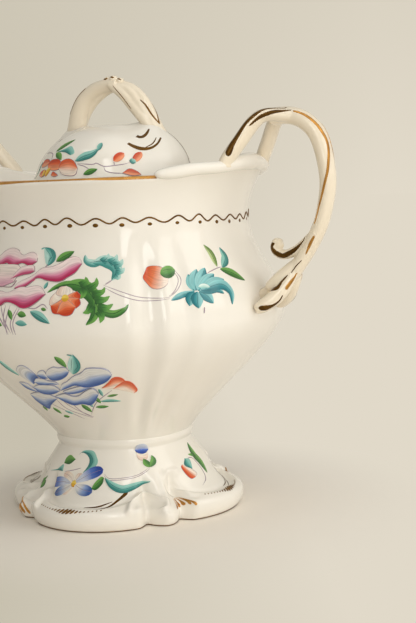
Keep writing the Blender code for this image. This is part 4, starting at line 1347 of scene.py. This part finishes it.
def gilded(name, tree, material, lines, touches, radius, height):
    """Lines of spots and single touches (spot, out, along, length, breadth) turned to gold by the tree."""
    vertices = []
    edges = []
    for line, closed in lines:
        first = len(vertices)
        vertices += list(line)
        edges += [(first + k, first + k + 1) for k in range(len(line) - 1)]
        if closed:
            edges.append((len(vertices) - 1, first))
    single = len(vertices)
    vertices += [touch[0] for touch in touches]
    mesh = bpy.data.meshes.new(name)
    mesh.from_pydata((np.array(vertices) * MM).tolist(), edges, [])
    values = {
        "touch": ("BOOLEAN", "value", [False] * single + [True] * len(touches)),
        "out": ("FLOAT_VECTOR", "vector", [(0, 0, 1)] * single + [t[1] for t in touches]),
        "along": ("FLOAT_VECTOR", "vector", [(1, 0, 0)] * single + [t[2] for t in touches]),
        "length": ("FLOAT", "value", [0] * single + [t[3] / 2 * MM for t in touches]),
        "breadth": ("FLOAT", "value", [0] * single + [t[4] / 2 * MM for t in touches]),
    }
    for key, (kind, field, data) in values.items():
        mesh.attributes.new(key, kind, "POINT").data.foreach_set(field, np.array(data).ravel())
    rough = in_scene(name + "_plan", mesh)
    modifier = rough.modifiers.new("gilding", "NODES")
    modifier.node_group = tree
    for item in tree.interface.items_tree:
        if item.name == "Line radius":
            modifier[item.identifier] = radius * MM
        if item.name == "Touch height":
            modifier[item.identifier] = height * MM
    done = worked_in(rough, name)
    if not done.materials:
        done.materials.append(material)
    return in_scene(name, done)


WAVES = 33
WAVE_UP = 97.6
WAVE_SWING = 0.95
WAVE_SIDE_DROP = 1.4
TOUCH_DROP = 2.4


def shoulder_gilding(tree, gold):
    """Waved line round the shoulder with a touch under each crest, a little uneven as drawn by hand."""
    turns = np.arange(0, 360, 0.5)
    beat = np.radians(turns) * WAVES
    sway = 0.22 * np.sin(5 * np.radians(turns) + 1) + 0.15 * np.sin(13 * np.radians(turns))
    swing = WAVE_SWING * (1 + 0.15 * np.sin(7 * np.radians(turns)))
    ups = WAVE_UP - WAVE_SIDE_DROP * side_wave(turns) + sway
    ups += swing * np.cos(beat + 0.35 * np.sin(11 * np.radians(turns)))
    touches = []
    for turn in np.arange(WAVES) * 360 / WAVES:
        across = turn + 0.5 * math.sin(3 * turn)
        up = WAVE_UP - WAVE_SIDE_DROP * side_wave(turn) - TOUCH_DROP + WAVE_SWING
        up += 0.2 * math.sin(5 * math.radians(turn) + 1)
        spot, out, along = wall_frame(bowl_wall, across, up)
        size = 1 + 0.12 * math.sin(7 * turn)
        touches.append((spot, out, along, 1.75 * size, 1.25 * size))
    return gilded("gilding_shoulder", tree, gold, [(bowl_wall(turns, ups), True)], touches, 0.30, 0.14)


DASHES = 19
DASH_REACH = 17.0
DASH_UP = 7.6


def foot_gilding(tree, gold):
    """Row of slanted dashes on each lobe, longest in the middle, and a line round the foot's lower edge."""
    touches = []
    for lobe in (0, 90, 180, 270):
        for share in np.linspace(-1, 1, DASHES):
            bulge = bell(share - 0.05, 0.32)
            up = DASH_UP + (1.2 if lobe % 180 else 0) + share * share
            spot, out, along = wall_frame(foot_top, lobe + share * DASH_REACH, up)
            slant = np.cross(out, along) * 0.8 + along * 0.6
            touches.append((spot, out, slant, 0.7 + 2.4 * bulge, 0.5 + 0.7 * bulge))
    turns = np.arange(0, 360, 0.75)
    return gilded("gilding_foot", tree, gold, [(foot_top(turns, 0.55), True)], touches, 0.22, 0.12)


def thickening(t):
    """Width of a comma: fine at its start, full and round at its end."""
    return (0.12 + 0.88 * t**1.6) * np.sqrt(np.clip((1.01 - t) / 0.08, 0, 1))


def swelling(least):
    """Width of a stroke that is fullest in the middle."""
    return lambda t: least + (1 - least) * np.sin(np.pi * t)


def thinning(power):
    """Width of a stroke that starts full and runs out."""
    return lambda t: 0.3 + 0.7 * (1 - t) ** power


def foot_commas(paint):
    """Long brush commas of dark gold on the foot's four lobes."""
    for lobe in (0, 90, 180, 270):
        paint.next_motif()
        paint.turn = lobe
        paint.blade("ink", 1.7, ((10, 10.6), (19, 12.4), (25, 15.8), (29.5, 18.8)), thickening)
        paint.blade("ink", 0.6, ((6.5, 12), (14, 12.6), (21, 14.6)), swelling(0.3))


# Lobes, strokes in a fan, width, sway and lift, then turn, step and up of each stroke's root, middle and tip
FANS = (
    ((90, 270), 6, 1.6, 0.5, 0.3, (-33, 0.9, 11), (-33.4, 1.4, 8.5), (-34, 1.9, 6)),
    ((0, 180), 5, 1.2, 0.4, 0.2, (-42.5, 0.8, 8.6), (-43, 1.6, 5.4), (-43.5, 2.3, 2.6)),
)


def foot_fans(paint):
    """Fans of gold strokes beside the volutes."""
    for lobes, count, width, sway, lift, root, middle, tip in FANS:
        for lobe in lobes:
            paint.turn = lobe
            for k in range(count):
                swing = math.sin(2.2 * k)
                spots = (
                    (root[0] + root[1] * k, root[2] - 0.1 * k),
                    (middle[0] + middle[1] * k + sway * swing, middle[2]),
                    (tip[0] + tip[1] * k, tip[2] + lift * swing),
                )
                paint.blade("ink", width, spots, thickening)


def lid_gold_strokes(paint):
    """Commas below the loop's right root, a line down the lid's right side and a mark at the left root."""
    paint.next_motif()
    paint.blade("ink", 2.0, ((44, 31), (48, 29.6), (54, 28.2), (61.5, 27.8), (69, 29), (77, 31.6)),
                lambda t: 0.35 + 0.65 * bell(t - 0.25, 0.3))
    paint.blade("ink", 0.5, ((58.5, 28.6), (66, 29.8), (73, 32.2)), swelling(0.5))
    paint.blade("ink", 1.7, ((56.5, 35.6), (59.5, 34.6), (65, 35), (75, 37.4)), thinning(0.8))
    paint.blade("ink", 0.4, ((99, 40), (99, 34), (98, 27), (98, 20.4), (99, 15)), swelling(0.4))
    paint.blade("ink", 1.0, ((-29, 33.6), (-31, 34.6), (-32.5, 35.8)), thinning(1))


def rim_edge(turn, up):
    """Outside of the rim: up is millimetres over its rounded top, or down the wall where it is negative."""
    turn, up = np.broadcast_arrays(np.asarray(turn, float), np.asarray(up, float))
    wall = bowl_wall(turn, BOWL_RUN[-1] + np.minimum(up, 0))
    return np.where(up[..., None] < 0, wall, rim_roll(turn, np.maximum(up, 0) / (np.pi * WALL / 2)))


def rim_gold_strokes(paint):
    """Gold on the edge of the rim from scroll to scroll, worn thin in the middle."""
    for side in (0, 180):
        paint.next_motif()
        spots = [(side + turn, 1.5) for turn in range(-45, 46, 5)]
        paint.blade("ink", 2.5, spots, lambda t: 1 - 0.55 * np.exp(-(((t - 0.59) / 0.21) ** 4)))


# Gold strokes as widths along the stroke and the points near the surface that it follows
HANDLE_STROKES = (
    (
        (2.8, 2.6, 2.0, 1.6, 1.3, 0.9, 0.5),
        (
            (56, -18.5, 129.5), (56.8, -17.6, 132.5), (58.6, -16, 136.5), (61, -13.8, 140.4),
            (64, -11.6, 143.2), (67.5, -8, 145.4), (72, -3, 146.5),
        ),
    ),
    ((0.5, 1.5, 1.4, 0.5), ((62.5, -13.8, 139.5), (66, -11, 142.6), (69.5, -8, 144), (74, -3.5, 144.5))),
    (
        (0.3, 0.6, 1.2, 2.0, 2.4, 2.4, 2.2, 1.8, 1.2),
        (
            (77, -1.5, 100.5), (76, -2.5, 99), (73.5, -2.5, 96.5), (71, -2.5, 95), (68.5, -2.5, 94),
            (66, -2.5, 95), (64.5, -2.5, 96.5), (64.5, -2.5, 98), (65.5, -2.5, 98.5),
        ),
    ),
    ((0.3, 1.0, 2.0, 2.2), ((71, -4.5, 87.5), (69, -5.5, 85), (67.5, -7, 83), (65, -5.5, 82))),
    (
        (0.5, 0.8, 1.4, 2.2, 1.8),
        ((70, -7, 80.5), (68.5, -7.5, 78.5), (66.5, -9, 77), (64.5, -10.5, 76.5), (62.5, -11.5, 76.5)),
    ),
    ((0.3, 0.4, 0.3), ((76, -3.5, 92.5), (74, -4, 90.5), (72, -4, 88))),
)
HANDLE_CREST = (
    (
        (0.8, 1.3, 1.4, 1.3, 1.1, 0.9, 0.9, 0.8, 0.5),
        (
            (74.5, -3.5, 144), (78.5, -3, 142.5), (81.5, -2.5, 140), (84, -2, 136.5), (86, -1.5, 132),
            (86.5, -3, 124.5), (85, -3.5, 117.5), (82.5, -3.5, 110), (81, -3.5, 105),
        ),
    ),
    ((0.8, 1.1, 0.4), ((81, -3.5, 101), (79.5, -3.5, 98.5), (77.5, -3.5, 94.5))),
    ((0.3, 1.2, 1.4), ((74, -2.5, 88), (72, -4.5, 85), (70.5, -6, 82.5))),
)
LOOP_STROKES = (
    ((0.2, 0.5, 0.4), ((-16.5, -2, 148), (-13.5, -2.5, 153.5), (-9, -2.5, 157.5))),
    ((0.2, 0.3, 0.2), ((3.5, -3.5, 157.5), (7.5, -4, 153), (11, -3.5, 148.5))),
    ((0.4, 0.7, 0.6, 0.5), ((14, -2, 152), (16, -1.5, 149.5), (18, -1, 146), (20.5, 0, 142.5))),
)
KNOT_STROKES = (
    ((0.5, 0.9, 0.5), ((-1.2, -1.6, 160), (-0.2, -2, 160.2), (0.6, -1.8, 160.6))),
    ((0.5, 0.8, 0.5), ((1.8, -2, 161), (2.6, -2.2, 160.6), (3.4, -2, 160.4))),
    ((0.4, 0.7, 0.4), ((4.4, -1.4, 160.2), (5.2, -1.4, 159.8), (5.8, -1, 159.4))),
)


GOLD_EDGE = 0.04
GOLD_CROWN = 0.08
GOLD_ROOT = 0.08


def on_surface(tree, points):
    """Nearest spots of a surface to the points, and its outward directions there."""
    hits = [tree.find_nearest(Vector(point) * MM) for point in points]
    return np.array([hit[0] for hit in hits]) / MM, np.array([hit[1] for hit in hits])


def ribbons(obj, strokes, mirror):
    """Vertices and faces of gold brush strokes that lie on a piece, and on its other side too if mirrored."""
    tree = BVHTree.FromPolygons([v.co for v in obj.data.vertices], [p.vertices[:] for p in obj.data.polygons])
    across = np.linspace(-1, 1, 7)
    vertices = []
    faces = []
    for side in (1, -1) if mirror else (1,):
        for widths, points in strokes:
            line = curve_through(np.array(points, float) * (1, side, 1), 12)
            line = on_surface(tree, line)[0]
            run = run_along(line)
            at = np.linspace(0, run[-1], max(8, int(run[-1] / 0.4)))
            line = np.stack(read_off(at, run, line), -1)
            breadth = np.interp(at / run[-1], np.linspace(0, 1, len(widths)), widths)
            breadth *= np.sqrt(np.clip(np.minimum(at, run[-1] - at) / (0.5 * breadth) + 0.08, 0, 1))
            line, normals = on_surface(tree, line)
            along = np.gradient(line, axis=0)
            sideways = np.cross(normals, along)
            sideways /= np.linalg.norm(sideways, axis=1)[:, None]
            spread = line[:, None] + sideways[:, None] * (across[None, :, None] * breadth[:, None, None] / 2)
            flat, up = on_surface(tree, spread.reshape(-1, 3))
            rise = np.tile(GOLD_EDGE + GOLD_CROWN * (1 - across**2), len(line))[:, None]
            index = len(vertices) + np.arange(len(flat)).reshape(len(line), len(across))
            vertices += list(flat + up * rise) + list(flat - up * GOLD_ROOT)
            faces += slab_faces(index).tolist()
    return np.array(vertices), faces


glaze = porcelain("glazed_porcelain", "#F0EBE1", "#EAE4D8")
# The handles, loop and knot take a darker, warmer copy of the glaze: painted shade that tones down the side
# lamp on them.
handle_glaze_painted_shade = porcelain("glazed_porcelain_handles_painted_shade", "#EEE3CF", "#E6D8BF")

stand(bowl_piece(glaze), "bowl_body", "bowl")
stand(foot_piece(glaze), "bowl_body", "foot")
for side_name, turned in (("right", False), ("left", True)):
    scroll = scroll_piece(f"rim_scroll_{side_name}_glazed", turned, glaze)
    stand(scroll, "bowl_body", f"rim_scroll_{side_name}")
    handle = handle_piece(f"handle_{side_name}_glazed", turned, handle_glaze_painted_shade)
    stand(handle, "bowl_body", f"handle_{side_name}")
stand(lid_piece(glaze), "cover", "lid")
loop = stand(loop_piece(handle_glaze_painted_shade), "cover", "lid_loop")
knot = stand(knot_piece(handle_glaze_painted_shade), "cover", "lid_knot")


enamels = overglaze("overglaze_enamels")
for face_name, face_turn in (("front", 0), ("back", 180)):
    panel = Enamel(bowl_wall, face_turn)
    for motif in (acanthus, rose_peony, orange_flower, bud_sprig, turquoise_spray, leaf_trio, blue_peony):
        motif(panel)
    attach(panel.piece(f"enamel_{face_name}", enamels), "bowl_body")
    panel = Enamel(bowl_wall, face_turn, mirror=-16)
    acanthus(panel)
    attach(panel.piece(f"enamel_{face_name}_left", enamels), "bowl_body")
    lobe = Enamel(foot_top, face_turn)
    foot_spray(lobe)
    foot_side_bud(lobe)
    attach(lobe.piece(f"enamel_foot_{face_name}", enamels), "bowl_body")
    dome = Enamel(lid_top, face_turn)
    lid_spray(dome)
    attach(dome.piece(f"enamel_lid_{face_name}", enamels), "cover")

# One gilding in three copies painted at different lightness: the dark copy is painted shade, the bright copy
# a painted highlight where the gold catches the lamps.
gold = burnished_gold("burnished_gold", "#463014", "#93692C")
gold_painted_shade = burnished_gold("burnished_gold_painted_shade", "#38260F", "#72501F")
gold_painted_highlight = burnished_gold("burnished_gold_painted_highlight", "#94632A", "#E2AA5A")
line_tree = gilding_tree(gold)
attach(shoulder_gilding(line_tree, gold), "bowl_body")
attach(foot_gilding(line_tree, gold), "bowl_body")
for name, wall, strokes, body, metal in (
    ("gilding_foot_commas", foot_top, foot_commas, "bowl_body", gold_painted_shade),
    ("gilding_foot_fans", foot_top, foot_fans, "bowl_body", gold_painted_highlight),
    ("gilding_lid_strokes", lid_top, lid_gold_strokes, "cover", gold_painted_shade),
    ("gilding_rim", rim_edge, rim_gold_strokes, "bowl_body", gold_painted_highlight),
):
    brushwork = Enamel(wall)
    strokes(brushwork)
    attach(brushwork.piece(name, metal), body)
for stroke_name, strokes, metal in (
    ("lines", HANDLE_STROKES, gold_painted_shade),
    ("crest", HANDLE_CREST, gold_painted_highlight),
):
    vertices, faces = ribbons(bpy.data.objects["handle_right_glazed"], strokes, True)
    for side_name, turned in (("right", False), ("left", True)):
        name = f"gilding_handle_{stroke_name}_{side_name}"
        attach(finished(name, half_turned(vertices, turned), faces, metal), "bowl_body")
for name, part, strokes in (("gilding_loop", loop, LOOP_STROKES), ("gilding_knot", knot, KNOT_STROKES)):
    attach(finished(name, *ribbons(part, strokes, True), gold), "cover")


def tilted(first, second, angle):
    """Two directions, square to each other, turned by an angle in their plane."""
    cos, sin = math.cos(angle), math.sin(angle)
    return first * cos - second * sin, second * cos + first * sin


def camera():
    """The camera stands low in front of the bowl's right half, a little rolled."""
    turn = CAMERA_ROUND
    forward = Vector((-math.sin(turn), math.cos(turn), 0))
    up = Vector((0, 0, 1))
    right = forward.cross(up)
    right, forward = tilted(right, forward, CAMERA_YAW)
    forward, up = tilted(forward, up, CAMERA_PITCH)
    right, up = tilted(right, up, CAMERA_ROLL)
    data = bpy.data.cameras.new("camera")
    data.lens = LENS
    data.sensor_width = SENSOR
    data.clip_start = 0.01
    obj = in_scene("camera", data)
    spot = Vector((CAMERA_DISTANCE * math.sin(turn), -CAMERA_DISTANCE * math.cos(turn), CAMERA_HEIGHT))
    axes = Matrix((right, up, -forward)).transposed().to_4x4()
    obj.matrix_world = Matrix.Translation(spot) @ axes
    bpy.context.scene.camera = obj


def softbox(name, spot, aim, size, power, colour, mirrored):
    """A square-edged soft lamp aimed at a height on the bowl's axis. It shows in the glaze where it is
    mirrored."""
    data = bpy.data.lights.new(name, "AREA")
    data.shape = "RECTANGLE"
    data.size, data.size_y = size
    data.energy = power
    data.color = linear(colour)[:3]
    obj = in_scene(name, data)
    obj.visible_glossy = mirrored
    obj.location = spot
    obj.rotation_euler = (Vector((0, 0, aim)) - Vector(spot)).to_track_quat("-Z", "Y").to_euler()


# Name, place and aim in metres, size, watts, colour, and whether the glaze mirrors it
LAMPS = (
    ("ceiling", (0.25, 0.05, 1.25), 0.05, (1.2, 1.2), 2.8, "#FFFDF8", True),
    ("side_lamp", (1.05, 0.10, 0.75), 0.08, (0.8, 0.8), 3.0, "#FFFCF6", True),
    ("right_card", (1.0, 0.10, 0.12), 0.07, (0.5, 0.3), 1.1, "#FFFEFB", False),
    ("low_window", (0.95, -0.72, 0.12), 0.05, (0.9, 0.24), 3.6, "#FFFEFB", False),
    ("window", (0.53, -0.79, 0.56), 0.09, (0.26, 0.7), 2.2, "#FFFEFB", True),
    ("skylight", (-0.25, -0.45, 1.2), 0.09, (0.3, 0.12), 0.35, "#FFFEFB", True),
)
ROOM = "#E8E6E1"
ROOM_LIGHT = 0.37
# Backdrop colours hold painted shade: darker to the left and at the top, lighter to the right.
BACKDROP_SHADED_LEFT = "#C6BFAD"
BACKDROP_LIT_RIGHT = "#E2DACA"
BACKDROP_SHADED_TOP = "#CFC8B7"
TABLE = "#F7F0E5"
TABLE_RADIUS = 6.0
TABLE_REACH = 0.3
FADE_START = 0.045
FADE_END = 0.12


def backdrop_painted_light(tree, direction):
    """Warm grey with painted light and shade: darker at the upper left, lighter to the right and towards the
    table, as from the lamp on the right.
    """
    sideways = add_node(tree, "ShaderNodeVectorMath", [(0, direction)], operation="DOT_PRODUCT")
    sideways.inputs[1].default_value = (math.cos(CAMERA_ROUND), math.sin(CAMERA_ROUND), 0)
    spread = ranged(tree, sideways.outputs["Value"], From_Min=-0.14, From_Max=0.20)
    across = between(tree, spread, BACKDROP_SHADED_LEFT, BACKDROP_LIT_RIGHT)
    height = add_node(tree, "ShaderNodeSeparateXYZ", [("Vector", direction)]).outputs["Z"]
    rise = ranged(tree, height, From_Min=-0.02, From_Max=0.22, To_Max=0.7)
    links = [("Factor", rise), ("A", across)]
    return add_node(tree, "ShaderNodeMix", links, data_type="RGBA", B=linear(BACKDROP_SHADED_TOP)).outputs["Result"]


def seen_rays(tree):
    """1 for rays from the camera and from mirror-like or clear surfaces, 0 for light that falls on things."""
    path = add_node(tree, "ShaderNodeLightPath")
    seen = path.outputs["Is Camera Ray"]
    for kind in ("Is Glossy Ray", "Is Transmission Ray"):
        either = add_node(tree, "ShaderNodeMath", [(0, seen), (1, path.outputs[kind])], operation="MAXIMUM")
        seen = either.outputs["Value"]
    return seen


def table_paper():
    """Matt paper under the bowl that takes its shadow, running out into the backdrop's colour, whose darker
    left is painted shade.
    """
    material, tree, shader = new_material(
        "table_paper", Base_Color=linear(TABLE), Roughness=0.85, Specular_IOR_Level=0.2
    )
    spot = add_node(tree, "ShaderNodeTexCoord").outputs["Object"]
    far = add_node(tree, "ShaderNodeVectorMath", [(0, spot)], operation="LENGTH")
    reach = add_node(tree, "ShaderNodeMath", [(0, far.outputs["Value"])], operation="MAXIMUM")
    reach.inputs[1].default_value = TABLE_REACH
    divided = [(0, spot), (1, reach.outputs["Value"])]
    direction = add_node(tree, "ShaderNodeVectorMath", divided, operation="DIVIDE").outputs["Vector"]
    glow = add_node(tree, "ShaderNodeEmission", [("Color", backdrop_painted_light(tree, direction))])
    limits = {"From_Min": FADE_START, "From_Max": FADE_END}
    fade = ranged(tree, far.outputs["Value"], interpolation_type="SMOOTHSTEP", **limits)
    amount = add_node(tree, "ShaderNodeMath", [(0, fade), (1, seen_rays(tree))], operation="MULTIPLY")
    shaders = [(1, shader.outputs["BSDF"]), (2, glow.outputs["Emission"])]
    surface = add_node(tree, "ShaderNodeMixShader", [(0, amount.outputs["Value"])] + shaders)
    tree.links.new(surface.outputs["Shader"], tree.nodes["Material Output"].inputs["Surface"])
    return material


def studio():
    """Pale paper sweep, a broad soft lamp on the right, a window at the camera's right and a dim room."""
    scene = bpy.context.scene
    scene.view_settings.view_transform = "Standard"
    world = bpy.data.worlds.new("studio")
    scene.world = world
    world.use_nodes = True
    tree = world.node_tree
    room = tree.nodes["Background"]
    room.inputs["Color"].default_value = linear(ROOM)
    room.inputs["Strength"].default_value = ROOM_LIGHT
    direction = add_node(tree, "ShaderNodeTexCoord").outputs["Generated"]
    paper = add_node(tree, "ShaderNodeBackground", [("Color", backdrop_painted_light(tree, direction))])
    shaders = [(1, room.outputs["Background"]), (2, paper.outputs["Background"])]
    surface = add_node(tree, "ShaderNodeMixShader", [(0, seen_rays(tree))] + shaders)
    tree.links.new(surface.outputs["Shader"], tree.nodes["World Output"].inputs["Surface"])
    shape = bmesh.new()
    bmesh.ops.create_circle(shape, cap_ends=True, segments=64, radius=TABLE_RADIUS)
    mesh = bpy.data.meshes.new("table")
    shape.to_mesh(mesh)
    shape.free()
    mesh.materials.append(table_paper())
    floor = in_scene("table", mesh)
    for lamp in LAMPS:
        softbox(*lamp)


camera()
studio()
